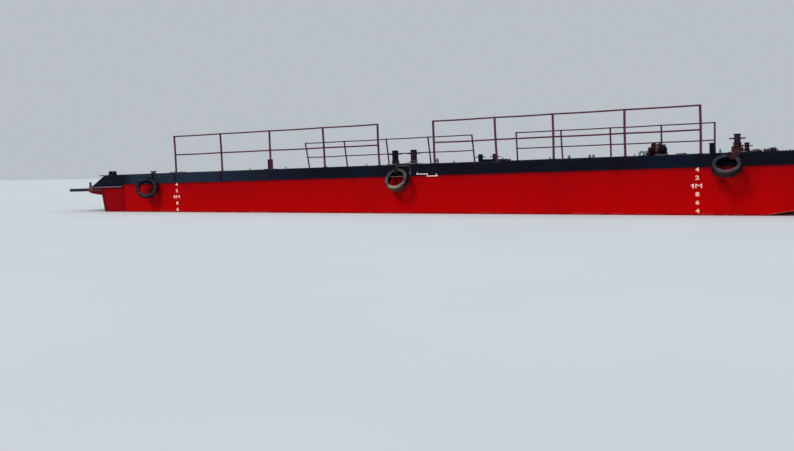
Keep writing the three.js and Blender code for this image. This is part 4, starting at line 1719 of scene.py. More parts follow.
@dataclass
class Fender:
    """One old tyre and what it hangs by."""

    end: str
    side: Side
    lean: float
    twist: float
    spin: float
    radius: float = 0.345
    bead_radius: float = 0.225
    steps: int = 72

    @property
    def node(self) -> str:
        """The frame's node that the tyre stands for."""
        return f"fender_{self.end}_{self.side.word}"

    @property
    def centre(self) -> Vector:
        """The middle of the tyre."""
        return middle_of(self.node)

    @property
    def up(self) -> int:
        """1 where the tyre's own +Y points up once it hangs, and -1 where it points down."""
        return -self.side.value

    @property
    def seat(self) -> Matrix:
        """The tyre's place: from its own frame, with its axle on +Z, to the side of the barge."""
        tilt = spun(-self.side.value * (90 - self.lean), "X")
        turn = spun(-self.side.value * self.twist, "Z")
        return at(*self.centre) @ turn @ tilt

    def build(self) -> None:
        """Makes the tyre."""
        tyre = turned(self._profile(), self.steps)
        sink(tyre, self._between_lugs, 0.009)
        moved(tyre, spun(self.spin, "Z"))
        self._carry(tyre)
        deliver(f"tyre_{self.end}_{self.side.word}", smooth(moved(tyre, self.seat), 40.0), TYRES[self.end],
                replaces=[self.node])

    def _profile(self) -> list[Point]:
        """The tyre's section: outer skin with its ribs and grooves, then the inner skin.

        Returns:
            Rows of radius and place along the axle.
        """
        r, b = self.radius, self.bead_radius
        wall = [(b, 0.062), (b + 0.003, 0.073), (b + 0.010, 0.080), (b + 0.018, 0.084), (b + 0.022, 0.0905),
                (b + 0.038, 0.0965), (b + 0.043, 0.0935), (b + 0.054, 0.0985), (r - 0.043, 0.0990),
                (r - 0.039, 0.0965), (r - 0.032, 0.0950)]
        shoulder = [(r - 0.028, 0.089), (r - 0.021, 0.0795), (r - 0.014, 0.072), (r - 0.004, 0.058)]
        tread = [(r - 0.003, 0.046), (r - 0.013, 0.044), (r - 0.013, 0.037), (r - 0.001, 0.035), (r, 0.014),
                 (r - 0.011, 0.012), (r - 0.011, 0.005)]
        half = [*wall, *shoulder, *tread]
        far = [(radius, -offset) for radius, offset in reversed(half)]
        inner = [(r - 0.022, 0.050), (r - 0.030, 0.068), (b + 0.066, 0.078), (b + 0.030, 0.070),
                 (b + 0.006, 0.054)]
        far_inner = [(radius, -offset) for radius, offset in reversed(inner)]
        return [*half, *far, *far_inner, *inner, half[0]]

    def _between_lugs(self, middle: Vector) -> bool:
        """Whether a face lies in a notch between two of the lugs on either shoulder.

        Args:
            middle: The middle of the face.

        Returns:
            True where it does.
        """
        out = math.hypot(middle.x, middle.y)
        between = self.radius - 0.022 < out < self.radius - 0.005 and 0.058 < abs(middle.z) < 0.084
        return between and step_of(middle, self.steps) % 3 == 0

    def _carry(self, tyre: Object) -> None:
        """Writes into the mesh where the sidewall is, where the tread's hollows and the inside by the bead
        take painted shade, and where the low side is.

        Args:
            tyre: The tyre, its axle still on +Z.
        """
        walls, grooves, lows = [], [], []
        for vertex in tyre.data.vertices:
            out, off = math.hypot(vertex.co.x, vertex.co.y), vertex.co.z
            reach = (out - self.bead_radius) / (self.radius - self.bead_radius)
            walls.append(1.0 if off > 0.08 and reach < 0.9 else 0.0)
            # The tread's hollows and the inside by the bead, which take painted shade.
            inside = abs(off) < 0.0545 and out < self.radius - 0.009 or abs(off) < 0.079 and reach < 0.75
            grooves.append(1.0 if inside else 0.0)
            lows.append(0.5 - 0.5 * self.up * vertex.co.y / self.radius)
        for name, values in (("sidewall", walls), ("groove", grooves), ("low", lows)):
            carried = tyre.data.attributes.new(name, "FLOAT", "POINT")
            carried.data.foreach_set("value", values)

    def loop_round(self, angle: float, spare: float = 0.012, aside: float = 0.0) -> list[Vector]:
        """Points of a closed loop round the tyre's section.

        Args:
            angle: Where on the tyre, in degrees from the bow, 90 at its top.
            spare: How far off the rubber the loop's middle line lies.
            aside: How many degrees the loop wanders between its start and its end.

        Returns:
            The loop's points, from the top of the tread, over the outer wall and through the hole.
        """
        middle = (self.radius + self.bead_radius) / 2
        points = []
        for step in range(13):
            way = math.tau * step / 12
            turn = math.radians(angle + aside * step / 12)
            out = middle + (self.radius - middle + spare) * math.cos(way)
            off = (0.100 + spare) * math.sin(way)
            points.append(self.seat @ Vector((out * math.cos(turn), self.up * out * math.sin(turn), off)))
        return points


@dataclass
class Fenders:
    """Six tyres, hung on ropes at the middle and the stern and on chains at the bow."""

    rope: float = 0.024
    chain_wire: float = 0.015
    chain_pitch: float = 0.048
    aft_cleat: float = -8.915
    heap_y: float = 3.90
    bow_cleat_y: float = 4.05
    post_turns: float = 0.104
    shackle_out: float = 0.236

    # Degrees by end of the barge: the lean of the foot away from the side, and the face's turn to the bow
    HANG = {"aft": (20.0, 35.0), "middle": (32.0, 0.0), "fore": (50.0, 0.0)}

    def build(self) -> None:
        """Makes the tyres, then what each hangs by."""
        hang = {"aft": self._hang_aft, "middle": self._hang_middle, "fore": self._hang_fore}
        for count, side in enumerate(Side):
            for place, (end, (lean, twist)) in enumerate(self.HANG.items()):
                fender = Fender(end, side, lean, twist, spin=37.0 * (count * 3 + place))
                fender.build()
                hang[end](fender)

    def _edge(self, side: Side, x: float, out: float = 0.014, up: float = 0.014) -> list[Point]:
        """Points that carry a line over the deck's edge at x, up off the deck and out from the belt."""
        return [(x, side.value * (BELT - 0.10), DECK + up), (x, side.value * (BELT - 0.01), DECK + up),
                (x, side.value * (BELT + out), DECK - 0.02)]

    def _hang_aft(self, fender: Fender) -> None:
        """Hangs the stern tyre on a doubled rope from a low horn cleat at the deck's edge.

        Args:
            fender: The tyre.
        """
        side, x = fender.side, on_frame(self.aft_cleat)
        y = side.value * (BELT - 0.17)
        route = coil_round((x, y), 0.040, DECK + 0.050, DECK + 0.024, 2.2 * side.value, 0.0)
        for count, angle in enumerate((84.0, 77.0, 70.0)):
            loop = fender.loop_round(angle, aside=-3.0)
            edge_x = loop[0].x + 0.012 * count
            route += [*self._edge(side, edge_x), *loop]
            if count < 2:
                route += self._edge(side, edge_x + 0.014)[::-1]
                route.append((x, side.value * (BELT - 0.12), DECK + 0.03))
        deliver(f"tyre_rope_aft_{side.word}", laid_rope(route, self.rope), ROPE_DARK)
        foot = block((x - 0.085, y - 0.040, DECK), (x + 0.085, y + 0.040, DECK + 0.010), 0.003)
        legs = [rod((leg, y, DECK + 0.005), (leg, y, DECK + 0.058), 0.020, 18, 0.003)
                for leg in (x - 0.035, x + 0.035)]
        horns = tube(eased_line([(x - 0.115, y, DECK + 0.070), (x - 0.070, y, DECK + 0.062),
                                 (x, y, DECK + 0.058), (x + 0.070, y, DECK + 0.062),
                                 (x + 0.115, y, DECK + 0.070)], 0.02), 0.020, 3)
        deliver(f"tyre_cleat_aft_{side.word}", joined([foot, *legs, horns]), TAR_BLACK)

    def _hang_middle(self, fender: Fender) -> None:
        """Hangs the middle tyre from the twin bollard, with the rope's slack lying along the belt.

        Args:
            fender: The tyre.
        """
        side = fender.side
        low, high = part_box(f"twin_bollard_{side.word}")
        y = side.value * BOLLARD_Y
        route = coil_round((low.x + Moorings.reach, y), self.post_turns, DECK + 0.110, DECK + 0.045,
                           2.25 * side.value, -270.0)
        for count, angle in enumerate((110.0, 104.0, 98.0)):
            loop = fender.loop_round(angle, aside=-3.0)
            x = loop[0].x + 0.006 * count
            route += [*self._edge(side, x), *loop]
            if count < 2:
                route += self._edge(side, x + 0.015)[::-1]
                route.append((x - 0.03, side.value * (BOLLARD_Y + 0.15), DECK + 0.03))
        deliver(f"tyre_rope_middle_{side.word}", laid_rope(route, self.rope), ROPE_DARK)
        self._slack(fender, high.x - Moorings.reach)
        across = [fender.seat @ Vector((x, fender.up * y, off)) for x, y, off in (
            (-0.216, 0.078, 0.056), (-0.120, 0.066, 0.074), (0.0, 0.056, 0.078), (0.120, 0.064, 0.074),
            (0.216, 0.078, 0.056))]
        deliver(f"tyre_lashing_{side.word}", laid_rope(across, 0.014), ROPE_TAN)

    def _slack(self, fender: Fender, post_x: float) -> None:
        """Makes the rope that lies along the belt from the bollard's other post, and falls to a knotted tail.

        Args:
            fender: The tyre beside it.
            post_x: The x of the post that it comes from.
        """
        side, x = fender.side, fender.centre.x
        out = side.value * (BELT + 0.016)
        wound = coil_round((post_x, side.value * BOLLARD_Y), self.post_turns, DECK + 0.100, DECK + 0.040,
                           1.25 * side.value, 0.0)
        lying = [*self._edge(side, x - 0.09), (x - 0.05, out, DECK - 0.036), (x + 0.04, out, DECK - 0.044),
                 (x + 0.15, out, DECK - 0.046), (x + 0.25, out, DECK - 0.050), (x + 0.280, out, DECK - 0.062)]
        deliver(f"tyre_rope_slack_{side.word}", laid_rope([*wound, *lying], self.rope), ROPE)
        falling = [(x + 0.272, out, DECK - 0.050), (x + 0.304, out, DECK - 0.090),
                   (x + 0.318, out, DECK - 0.140), (x + 0.322, out, DECK - 0.205)]
        knot = coil_round((x + 0.322, side.value * (BELT + 0.034)), 0.020, DECK - 0.214, DECK - 0.300,
                          3.5, 90.0)
        tail = [(x + 0.326, side.value * (BELT + 0.022), DECK - 0.350)]
        deliver(f"tyre_rope_tail_{side.word}", laid_rope([*falling, *knot, *tail], self.rope), ROPE_TAIL)

    def _hang_fore(self, fender: Fender) -> None:
        """Hangs the bow tyre on rusty chains, from the cross bollard's foot through its outer wall.

        Args:
            fender: The tyre.
        """
        side = fender.side
        post_x = middle_of(f"cross_bollard_{side.word}").x
        y = side.value * BOLLARD_Y
        chains = []
        for angle, aside in ((68.0, 0.0), (58.0, 0.060), (48.0, 0.120)):
            way = math.radians(angle)
            shackled = fender.seat @ Vector((self.shackle_out * math.cos(way),
                                             fender.up * self.shackle_out * math.sin(way), 0.072))
            loop = [*fender.loop_round(angle, 0.018)[:5], shackled]
            x = fender.centre.x + 0.125 + aside
            wrap = coil_round((post_x, y), 0.120, DECK + 0.160 - aside, DECK + 0.050, 1.6 * side.value, 0.0)
            route = [*wrap, (x + 0.02, side.value * (BOLLARD_Y + 0.17), DECK + 0.04),
                     *self._edge(side, x, 0.03, 0.03), *loop]
            chains.append(strung_chain(route, self.chain_wire, self.chain_pitch))
        deliver(f"tyre_chain_fore_{side.word}", joined(chains), CHAIN_RUST)
        self._deck_heap(side, post_x)

    def _deck_heap(self, side: Side, post_x: float) -> None:
        """Lays a rope coil, a chain heap and a small cleat on the deck before the cross bollard.

        Args:
            side: The side of the barge.
            post_x: The x of the bollard's post.
        """
        y = side.value * self.heap_y
        coil = [(post_x + 0.41 + radius * math.cos(turn), y + radius * math.sin(turn), height)
                for turn, radius, height in ((step * math.tau / 12, 0.125 - 0.022 * (step // 12),
                                              DECK + 0.014 + 0.022 * (step / 24)) for step in range(49))]
        deliver(f"deck_rope_coil_{side.word}", laid_rope(coil, 0.026), ROPE)
        random_lie = random.Random(f"heap {side.word}")
        heap = [(post_x + 0.58 + 0.28 * (step / 22) + random_lie.uniform(-0.03, 0.03),
                 y + 0.11 * math.sin(step * 1.7), DECK + 0.018 + 0.022 * abs(math.sin(step * 0.9)))
                for step in range(23)]
        deliver(f"bollard_chain_heap_{side.word}", strung_chain(heap, self.chain_wire, self.chain_pitch),
                CHAIN_RUST)
        x = post_x + 0.77
        y = side.value * self.bow_cleat_y
        cleat = [block((x - 0.06, y - 0.03, DECK), (x + 0.06, y + 0.03, DECK + 0.010), 0.003),
                 rod((x, y, DECK + 0.005), (x, y, DECK + 0.070), 0.016, 16, 0.003),
                 rod((x - 0.075, y, DECK + 0.072), (x + 0.075, y, DECK + 0.072), 0.013, 14, 0.005)]
        deliver(f"bow_cleat_{side.word}", joined(cleat), TAR_BLACK)


@dataclass
class Moorings:
    """Bollards, single posts and the open chocks at the corners."""

    post_radius: float = 0.090
    single_radius: float = 0.080
    pin_radius: float = 0.017
    reach: float = 0.200
    plate: float = 0.020
    single_plate: float = 0.016
    twin_pin: float = 0.300
    cross_pin: float = 0.335
    cross_pin_reach: float = 0.185
    cross_upper_radius: float = 0.072
    cross_shoulder: float = 0.250

    def build(self) -> None:
        """Makes each kind."""
        for side in Side:
            self._twin(side)
            self._cross(side)
            for end in ("stern", "bow"):
                name = f"chock_{end}_{side.word}"
                deliver(f"{name}_eased", recast(name, 0.010, 3), TAR_BLACK, replaces=[name])
        self._single("mooring_post_port", TAR_BLACK)
        self._single("mooring_post_starboard", MAROON_BLACK)

    def _post(self, x: float, y: float, foot: float, top: float, radius: float, lipped: bool) -> Object:
        """An upright pipe with a welded cap.

        Args:
            x: Its place.
            y: Its place.
            foot: The height of its foot.
            top: The height of its cap.
            radius: Its radius.
            lipped: True where the cap stands out over the pipe.

        Returns:
            The post with the weld at its foot.
        """
        over = 0.012 if lipped else 0.0
        profile = [(0, foot), (radius, foot), (radius, top - 0.034), (radius + 0.004 + over, top - 0.030),
                   (radius + 0.006 + over, top - 0.020), (radius + over - 0.002, top - 0.009),
                   (radius * 0.72, top - 0.003), (radius * 0.3, top), (0, top)]
        return joined([moved(turned(profile, 36), at(x, y, 0)), welded_foot(x, y, foot, radius)])

    def _pin(self, x: float, y: float, z: float, reach: float) -> Object:
        """A cross pin along the barge, its ends rounded, with a bead where it enters the post.

        Args:
            x: The post's place.
            y: The post's place.
            z: The pin's height.
            reach: How far it stands out from the post's middle.

        Returns:
            The pin.
        """
        pin = rod((x - reach, y, z), (x + reach, y, z), self.pin_radius, 14, 0.005)
        beads = [hoop((x + sign * (self.post_radius - 0.001), y, z), (1, 0, 0),
                      self.pin_radius + 0.003, 0.005) for sign in (-1, 1)]
        return joined([pin, *beads])

    def _base(self, low: Vector, high: Vector, thick: float) -> Object:
        """A base plate on the deck with a weld round it."""
        plate = block(low, (high.x, high.y, DECK + thick), 0.005)
        return joined([plate, weld_round(low, high, DECK + BEAD_UP)])

    def _twin(self, side: Side) -> None:
        """Makes a twin bollard: two pinned posts on one plate.

        Args:
            side: The side of the barge.
        """
        name = f"twin_bollard_{side.word}"
        low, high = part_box(name)
        y = side.value * BOLLARD_Y
        foot = DECK + self.plate
        deliver(f"{name}_plate", self._base(low, high, self.plate), BASE_GREY)
        finishes = (TAR_BLACK, MAROON_BLACK)
        parts = []
        for x, finish in zip((low.x + self.reach, high.x - self.reach), finishes):
            post = joined([self._post(x, y, foot, high.z, self.post_radius, False),
                           self._pin(x, y, DECK + self.twin_pin, self.reach)])
            parts.append(dress(post, finish))
        deliver(f"{name}_posts", joined(parts), None, replaces=[name])

    def _cross(self, side: Side) -> None:
        """Makes a cross bollard: one lipped post with a bar through it.

        Args:
            side: The side of the barge.
        """
        name = f"cross_bollard_{side.word}"
        low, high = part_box(name)
        x, y = middle_of(name).x, side.value * BOLLARD_Y
        foot = DECK + self.plate
        deliver(f"{name}_plate", self._base(low, high, self.plate), BASE_GREY)
        post = joined([self._post(x, y, foot, high.z, self.cross_upper_radius, True),
                       self._post(x, y, foot, DECK + self.cross_shoulder, self.post_radius, False),
                       self._pin(x, y, DECK + self.cross_pin, self.cross_pin_reach)])
        deliver(f"{name}_post", post, MAROON_BLACK, replaces=[name])

    def _single(self, name: str, finish: Finish) -> None:
        """Makes a single post on its own plate.

        Args:
            name: The frame's node.
            finish: Its finish.
        """
        low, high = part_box(name)
        x, y, _ = middle_of(name)
        base = self._base(low, high, self.single_plate)
        post = self._post(x, y, DECK + self.single_plate, high.z, self.single_radius, True)
        deliver(f"{name}_pipe", joined([base, post]), finish, replaces=[name])


@dataclass
class DeckFittings:
    """Hatches, vents, manholes and lashing rings."""

    vent_radius: float = 0.038
    vent_bend: float = 0.075
    vent_foot: float = 0.066
    sounding_station: float = 5.300
    ring_pitch: float = 1.45
    ringless: tuple[float, float] = (1.5, 2.6)
    rib_off: float = 0.22
    swing_bolt_off: float = 0.20

    # The pipes of each vent, by how far along the barge each stands from its middle
    VENTS = {"aft": (0.0,), "middle": (0.0,), "fore": (-0.065, 0.065), "bow": (0.0,), "nose": (0.0,)}
    BENT_TO_BOW = "bow"

    def build(self) -> None:
        """Makes each kind."""
        for side, body in ((Side.STARBOARD, Body.LID_STARBOARD), (Side.PORT, Body.LID_PORT)):
            self._hatch(side, body)
            self._lashing_rings(side)
        for name, offsets in self.VENTS.items():
            self._vent(name, offsets)
        self._sounding_pipe()
        for end in ("aft", "fore"):
            for side in Side:
                self._manhole(f"manhole_{end}_{side.word}")
        self._mushroom()

    def _hatch(self, side: Side, body: Body) -> None:
        """Makes a hatch: its coaming with swing bolts, and its lid with forked lugs for them.

        Args:
            side: The side of the barge.
            body: The lid's body.
        """
        coaming, lid = f"hatch_coaming_{side.word}", f"hatch_lid_{side.word}"
        low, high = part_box(coaming)
        lid_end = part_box(lid)[1].x
        y = middle_of(coaming).y
        back, z = low.x + 0.05, DECK + BEAD_UP
        corners = [(back, low.y, z), (high.x, low.y, z), (high.x, high.y, z), (back, high.y, z)]
        weld = weld_line(corners, 0.007)
        deliver(f"{coaming}_ring", joined([recast(coaming, 0.003), weld]), TAR_BLACK,
                replaces=[coaming])
        top = DECK + 0.062
        ribs = [block((low.x + 0.10, rib - 0.005, top - 0.002), (lid_end - 0.22, rib + 0.005, top + 0.010),
                      0.002) for rib in (y - self.rib_off, y + self.rib_off)]
        deliver(f"{lid}_plate", joined([recast(lid, 0.0025), *ribs]), TAR_BLACK, body, [lid])
        dogs = []
        x = lid_end + 0.030
        for place in (y - self.swing_bolt_off, y + self.swing_bolt_off):
            post = rod((x, place, DECK), (x, place, DECK + 0.066), 0.009, 12, 0.002)
            nut = rod((x, place, DECK + 0.056), (x, place, DECK + 0.076), 0.016, 12, 0.003)
            wing = rod((x - 0.004, place - 0.042, DECK + 0.072), (x + 0.004, place + 0.042, DECK + 0.072),
                       0.006, 10, 0.002)
            foot = block((x - 0.018, place - 0.018, DECK), (x + 0.018, place + 0.018, DECK + 0.012), 0.002)
            dogs += [post, nut, wing, foot]
        deliver(f"hatch_swing_bolts_{side.word}", joined(dogs), WORN_STEEL)

    def _vent(self, name: str, offsets: Sequence[float]) -> None:
        """Makes a gooseneck vent, or two side by side on one plate.

        Args:
            name: The vent's name.
            offsets: Where each of its pipes stands from its middle.
        """
        node = f"vent_{name}"
        low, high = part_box(node)
        ahead = name == self.BENT_TO_BOW
        x = low.x + self.vent_radius if ahead else (low.x + high.x) / 2
        y, half = VENT_Y, self.vent_foot
        reach = max(offsets) + half
        if len(offsets) == 1:
            parts = [rod((x, y, DECK), (x, y, DECK + 0.010), half, 28, 0.003)]
        else:
            parts = [block((x - reach, y - half, DECK), (x + reach, y + half, DECK + 0.010), 0.003)]
        for offset in offsets:
            parts += self._gooseneck(x + offset, y, high.z, ahead)
        deliver(f"{node}_gooseneck", joined(parts), VENT_TEAL, replaces=[node])

    def _gooseneck(self, x: float, y: float, top: float, ahead: bool) -> list[Object]:
        """Makes the bent pipe of a vent with its bolts, its weld and the wider gauze mouth.

        Args:
            x: Its place.
            y: Its place.
            top: The height of the top of its bend.
            ahead: Whether it bends towards the bow, and not towards the middle line.

        Returns:
            The parts.
        """
        crown = top - self.vent_bend - self.vent_radius
        line = [(x, y, DECK + 0.004), (x, y, crown)]
        for turn in (math.pi * step / 14 for step in range(1, 15)):
            out = self.vent_bend * (1 - math.cos(turn))
            line.append((x + out * ahead, y - out * (not ahead), crown + self.vent_bend * math.sin(turn)))
        mouth = (line[-1][0], line[-1][1], crown - 0.050)
        line.append(mouth)
        pipe = tube(line, self.vent_radius - 0.003, 5)
        bolts = bolt_circle((x, y, DECK + 0.010), 0.053, 6, 0.0065)
        band = rod((*mouth[:2], mouth[2] + 0.001), (*mouth[:2], mouth[2] + 0.030), self.vent_radius, 28,
                   0.003)
        return [pipe, bolts, band, welded_foot(x, y, DECK + 0.010, self.vent_radius - 0.003)]

    def _sounding_pipe(self) -> None:
        """Makes the thin capped sounding pipe beside the bow vent."""
        pipe = turned([(0, 0), (0.034, 0), (0.034, 0.008), (0.018, 0.010), (0.018, 0.190), (0.024, 0.192),
                       (0.024, 0.212), (0.019, 0.217), (0, 0.218)], 24)
        place = at(on_frame(self.sounding_station), VENT_Y, DECK)
        deliver("sounding_pipe", moved(pipe, place), VENT_TEAL)

    def _manhole(self, node: str) -> None:
        """Makes a bolted manhole cover with its two lifting handles.

        Args:
            node: The frame's node.
        """
        x, y, _ = middle_of(node)
        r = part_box(node)[1].x - x
        cover = turned([(0, 0), (r, 0), (r, 0.010), (r - 0.004, 0.014), (r - 0.043, 0.0145),
                        (r - 0.045, 0.024), (r - 0.050, 0.028), (0.10, 0.028), (0.08, 0.025), (0, 0.025)], 64)
        moved(cover, at(x, y, DECK))
        bolts = bolt_circle((x, y, DECK + 0.0278), r - 0.075, 20, 0.010)
        bow = ((-0.055, 0.024), (-0.055, 0.045), (-0.043, 0.056), (0, 0.058), (0.043, 0.056),
               (0.055, 0.045), (0.055, 0.024))
        handles = [tube(eased_line([(place, y + aside, DECK + up) for aside, up in bow], 0.01), 0.006)
                   for place in (x - 0.13, x + 0.13)]
        weld = hoop((x, y, DECK + 0.002), (0, 0, 1), r, 0.006, 64, 6)
        deliver(f"{node}_cover", joined([cover, bolts, weld, *handles]), RUST, replaces=[node])

    def _mushroom(self) -> None:
        """Makes the mushroom vent: stem, domed head with a rolled rim and a small boss on top, and ribs and
        bolts at its foot.
        """
        x, y, _ = middle_of("mushroom_vent")
        stem = turned([(0, 0), (0.070, 0), (0.070, 0.006), (0.066, 0.009), (0.046, 0.010), (0.043, 0.014),
                       (0.043, 0.150), (0, 0.150)], 36)
        head = turned([(0, 0.136), (0.112, 0.136), (0.119, 0.140), (0.122, 0.147), (0.121, 0.156),
                       (0.114, 0.168), (0.098, 0.181), (0.070, 0.192), (0.036, 0.198), (0.016, 0.200),
                       (0.014, 0.208), (0, 0.210)], 48)
        ribs = [block((-0.004, 0.040, 0.010), (0.004, 0.064, 0.050), 0.001) for _ in range(4)]
        for number, rib in enumerate(ribs):
            moved(rib, spun(90 * number, "Z"))
        bolts = bolt_circle((0, 0, 0.0085), 0.058, 8, 0.005)
        whole = joined([stem, head, bolts, *ribs])
        deliver("mushroom_vent_turned", moved(whole, at(x, y, DECK)), FITTING_RED,
                replaces=["mushroom_vent"])

    def _lashing_rings(self, side: Side) -> None:
        """Makes the row of lashing rings beside the cargo plate, each fallen its own way.

        Args:
            side: The side of the barge.
        """
        fall = random.Random(f"rings {side.word}")
        low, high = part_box("cargo_plate")
        y = side.value * (high.y + 0.16)
        saddle = joined([block((-0.045, -0.022, 0), (0.045, 0.022, 0.006), 0.002),
                         tube([(0, -0.020, 0.004), (0, -0.016, 0.022), (0, 0, 0.029), (0, 0.016, 0.022),
                               (0, 0.020, 0.004)], 0.008, 2)])
        ring = hoop((0, 0, 0), (0, 0, 1), 0.048, 0.009, 24, 8)
        count = int((high.x - low.x) / self.ring_pitch)
        places = [low.x + 0.5 + self.ring_pitch * number for number in range(count)]
        places = [x for x in places if not self.ringless[0] < x < self.ringless[1]]
        rings = []
        for x in places:
            lean = fall.choice((-1, 1)) * fall.uniform(62, 80)
            rings.append(at(x, y, DECK + 0.014) @ spun(lean, "X") @ spun(90, "Y") @ at(-0.042, 0, 0))
        parts = scatter(saddle, [at(x, y, DECK) for x in places]) + scatter(ring, rings)
        deliver(f"lashing_rings_{side.word}", joined(parts), RUST)


@dataclass
class Winch:
    """The hand winch: bed plate on two skids, gearbox, geared drum with its rope, and the crank."""

    station: float = 6.470
    axle: float = 0.235
    wheel: float = 0.190
    core: float = 0.110
    brake: float = 0.150
    rope: float = 0.018
    teeth: int = 48

    @property
    def x(self) -> float:
        """The frame's x of the winch."""
        return on_frame(self.station)

    def build(self) -> None:
        """Makes the fixed parts, then the drum and the crank that turn."""
        self._bed()
        self._gearbox()
        self._drum()
        self._drum_rope()
        self._crank()
        self._rope_heap()

    def _place(self, obj: Object) -> Object:
        """Moves a part from the winch's own frame to the deck."""
        return moved(obj, at(self.x, 0, DECK))

    def _along(self, profile: Sequence[Point], steps: int = 48) -> Object:
        """A piece turned about the drum's axle, from rows of radius and place along it."""
        return self._place(moved(turned(profile, steps), at(0, 0, self.axle) @ spun(90, "Y")))

    def _bed(self) -> None:
        """Takes over the bed plate, skids and bearing and adds bolts, gussets and a weld."""
        bed = dress(recast("winch_frame", 0.004), TAR_BLACK)
        bed.data.materials.append(material_of(SKID_GREY))
        for face in bed.data.polygons:
            face.material_index = int(abs(face.center.y) > 0.2045 and face.center.z > DECK + 0.019)
        places = [(x, y) for x in (-0.30, 0.19) for y in (-0.175, 0.175)]
        bolts = scatter(bolt(0.012), [at(self.x + x, y, DECK + 0.020) for x, y in places])
        gussets = [self._place(block((0.275, y - 0.006, 0.02), (0.290, y + 0.006, 0.15), 0.002))
                   for y in (-0.09, 0.09)]
        weld = self._place(weld_round((-0.33, -0.24), (0.33, 0.24), BEAD_UP))
        extras = dress(joined([*bolts, *gussets, weld]), TAR_BLACK)
        deliver("winch_bed", joined([bed, extras]), None, replaces=["winch_frame"])

    def _gearbox(self) -> None:
        """Takes over the gearbox and adds its bolted covers, ribs and lifting eye."""
        case = recast("winch_gearbox", 0.010, 3)
        face_aft = spun(-90, "Y")
        places = [(-0.2445, y, z) for y in (-0.095, 0.095) for z in (0.20, 0.272)]
        places += [(-0.3115, y, z) for y in (-0.066, 0.066) for z in (0.045, 0.140)]
        heads = scatter(bolt(0.008), [at(self.x + x, y, DECK + z) @ face_aft for x, y, z in places])
        ribs = [self._place(block((-0.236, y - 0.006, 0.03), (-0.180, y + 0.006, 0.28), 0.003))
                for y in (-0.116, 0.116)]
        eye = self._place(hoop((-0.208, 0, 0.312), (1, 0, 0), 0.022, 0.006, 20, 8))
        deliver("winch_gear_case", joined([case, *heads, *ribs, eye]), RUST,
                replaces=["winch_gearbox"])

    def _drum(self) -> None:
        """Makes the drum: a toothed wheel, the core, a thick flange, the brake drum and the shaft."""
        w, b = self.wheel, self.brake
        toothed = [(0.026, -0.156), (w - 0.015, -0.156), (w, -0.146), (w, -0.060), (w - 0.006, -0.054),
                   (w - 0.006, -0.046), (w, -0.040), (w - 0.004, -0.034), (0.160, -0.034), (0.154, -0.040),
                   (0.122, -0.040), (self.core, -0.034), (0.026, -0.034), (0.026, -0.156)]
        wheel = dress(self._toothed(toothed), DRUM_MAROON)
        shaft = dress(self._along([(0, -0.215), (0.023, -0.215), (0.025, -0.213), (0.025, 0.286),
                                   (0.021, 0.290), (0, 0.290)], 28), WORN_STEEL)
        core = dress(self._along([(0.026, -0.035), (self.core, -0.035), (self.core, 0.051), (0.026, 0.051),
                                  (0.026, -0.035)]), RUST)
        flange = dress(self._along([(0.026, 0.050), (w - 0.008, 0.050), (w, 0.056), (w, 0.074),
                                    (w - 0.010, 0.078), (w - 0.010, 0.094), (w, 0.098), (w, 0.112),
                                    (w - 0.006, 0.118), (0.16, 0.118), (0.155, 0.123), (0.026, 0.123),
                                    (0.026, 0.050)]), DRUM_MAROON)
        brake = dress(self._along([(0.026, 0.122), (b - 0.004, 0.122), (b, 0.126), (b, 0.138),
                                   (b - 0.008, 0.142), (b - 0.008, 0.222), (b, 0.226), (b, 0.232),
                                   (b - 0.004, 0.235), (0.132, 0.235), (0.126, 0.229), (0.068, 0.229),
                                   (0.060, 0.235), (0.060, 0.241), (0.026, 0.241), (0.026, 0.122)]),
                      TAR_BLACK)
        axle = at(self.x, 0, DECK + self.axle)
        heads = [axle @ spun(45 * number, "X") @ at(0.228, 0, 0.098)
                 @ spun(90, "Y") for number in range(8)]
        studs = dress(joined(scatter(bolt(0.009), heads)), TAR_BLACK)
        deliver("winch_drum_turned", joined([wheel, core, flange, brake, shaft, studs]), None,
                Body.DRUM, ["winch_drum"])

    def _toothed(self, profile: Sequence[Point]) -> Object:
        """The geared wheel: a turned piece with the gaps between its teeth sunk into its rim.

        Args:
            profile: Rows of radius and place along the axle.

        Returns:
            The wheel, on its axle.
        """
        steps = self.teeth * 2
        obj = turned(profile, steps)

        def gap(middle: Vector) -> bool:
            """Whether a face of the rim lies between two teeth."""
            rim = math.hypot(middle.x, middle.y) > self.wheel - 0.003
            return rim and -0.146 < middle.z < -0.060 and step_of(middle, steps) % 2 == 0

        moved(sink(obj, gap, 0.012), at(0, 0, self.axle) @ spun(90, "Y"))
        return self._place(smooth(obj, 30.0))

    def _drum_rope(self) -> None:
        """Winds four layers of rope on the drum."""
        centre = Vector((self.x, 0, DECK + self.axle))
        start, end = -0.034 + self.rope * 0.6, 0.050 - self.rope * 0.6
        points = []
        turned_by = 0.0
        turns = 4.5
        steps = round(turns * 14)
        for layer in range(4):
            radius = self.core + self.rope * (0.55 + 0.86 * layer)
            for step in range(steps):
                share = step / steps
                angle = turned_by + math.tau * turns * share
                place = start + (end - start) * (share if layer % 2 == 0 else 1.0 - share)
                points.append(centre + Vector((place, radius * math.cos(angle), radius * math.sin(angle))))
            turned_by += math.tau * turns
        deliver("winch_rope", laid_rope(points, self.rope), ROPE_BROWN, Body.DRUM)

    def _crank(self) -> None:
        """Takes over the crank and adds its turned grip."""
        crank = dress(recast("winch_crank", 0.003), WORN_STEEL)
        grip = turned([(0.0135, 0), (0.019, 0.002), (0.021, 0.012), (0.019, 0.036), (0.020, 0.062),
                       (0.0195, 0.078), (0.016, 0.084), (0.0135, 0.084), (0.0135, 0)], 24)
        moved(grip, at(self.x - 0.438, -0.05, DECK + 0.068) @ spun(90, "Y"))
        deliver("winch_crank_arm", joined([crank, dress(grip, RUST)]), None, Body.CRANK,
                ["winch_crank"])

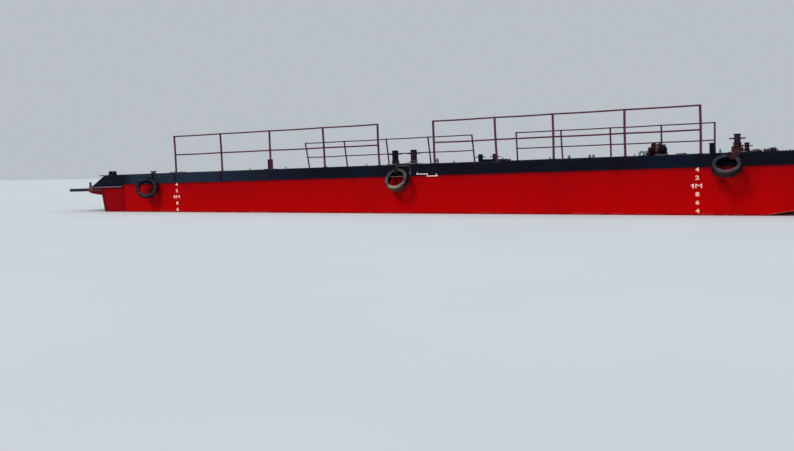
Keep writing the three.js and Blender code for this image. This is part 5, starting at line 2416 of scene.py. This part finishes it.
    def _rope_heap(self) -> None:
        """Lays the winch's spare rope in a loose coil on the deck before it."""
        lie = random.Random("winch heap")
        points = []
        for step in range(61):
            turn = step * math.tau / 12
            radius = 0.15 + lie.uniform(-0.012, 0.012) - 0.012 * (step // 20)
            points.append((self.x + 0.68 + radius * 1.1 * math.cos(turn), radius * math.sin(turn),
                           DECK + 0.016 + 0.075 * step / 60))
        deliver("winch_rope_heap", laid_rope(points, 0.024), ROPE_BROWN)


@dataclass
class Studio:
    """A pale floor at the waterline, soft light and the photograph's camera."""

    eye: tuple[float, float, float] = (8.735, -24.893, 1.485)
    turn: tuple[float, float, float] = (86.5164, 1.6900, 24.1540)
    lens: float = 36.285
    sensor: float = 36.0
    reach: float = 600.0

    def build(self) -> None:
        """Makes the floor, the lights, the world and the camera."""
        self._floor()
        self._lights()
        data = bpy.data.cameras.new("camera")
        data.lens, data.sensor_width = self.lens, self.sensor
        data.clip_start, data.clip_end = 0.1, 3000.0
        camera = bpy.data.objects.new("camera", data)
        bpy.context.scene.collection.objects.link(camera)
        camera.location = self.eye
        camera.rotation_euler = tuple(math.radians(angle) for angle in self.turn)
        bpy.context.scene.camera = camera
        bpy.context.scene.view_settings.view_transform = "Standard"

    def _floor(self) -> None:
        """Lays the floor along the waterline, lower towards the bow."""
        bpy.ops.mesh.primitive_circle_add(vertices=96, radius=self.reach, fill_type="NGON",
                                          location=(0, 0, WATER_AMIDSHIPS), rotation=(0, -math.atan(TRIM), 0))
        floor = settle(bpy.context.object)
        floor.name = "studio_floor"
        dress(floor, StudioFloor("studio_floor"))

    def _lights(self) -> None:
        """Sets a wide soft sun from the upper left, over a plain bright surround."""
        data = bpy.data.lights.new("soft_key", "SUN")
        data.energy, data.angle = 1.7, math.radians(20)
        data.color = (1.0, 0.985, 0.96)
        key = bpy.data.objects.new("soft_key", data)
        bpy.context.scene.collection.objects.link(key)
        key.rotation_euler = (math.radians(48), 0, math.radians(-22))
        world = bpy.data.worlds.new("surround")
        bpy.context.scene.world = world
        world.use_nodes = True
        surround = world.node_tree.nodes["Background"]
        surround.inputs["Color"].default_value = (0.84, 0.91, 0.97, 1.0)
        surround.inputs["Strength"].default_value = 0.58


def main() -> None:
    """Builds the studio and each sub-assembly."""
    logging.basicConfig(level=logging.INFO, format="%(name)s: %(message)s")
    for assembly in (Studio(), Hull(), Stern(), Rails(), Fenders(), Moorings(), DeckFittings(), Winch()):
        LOG.info("building %s", type(assembly).__name__)
        assembly.build()


if __name__ == "__main__":
    main()
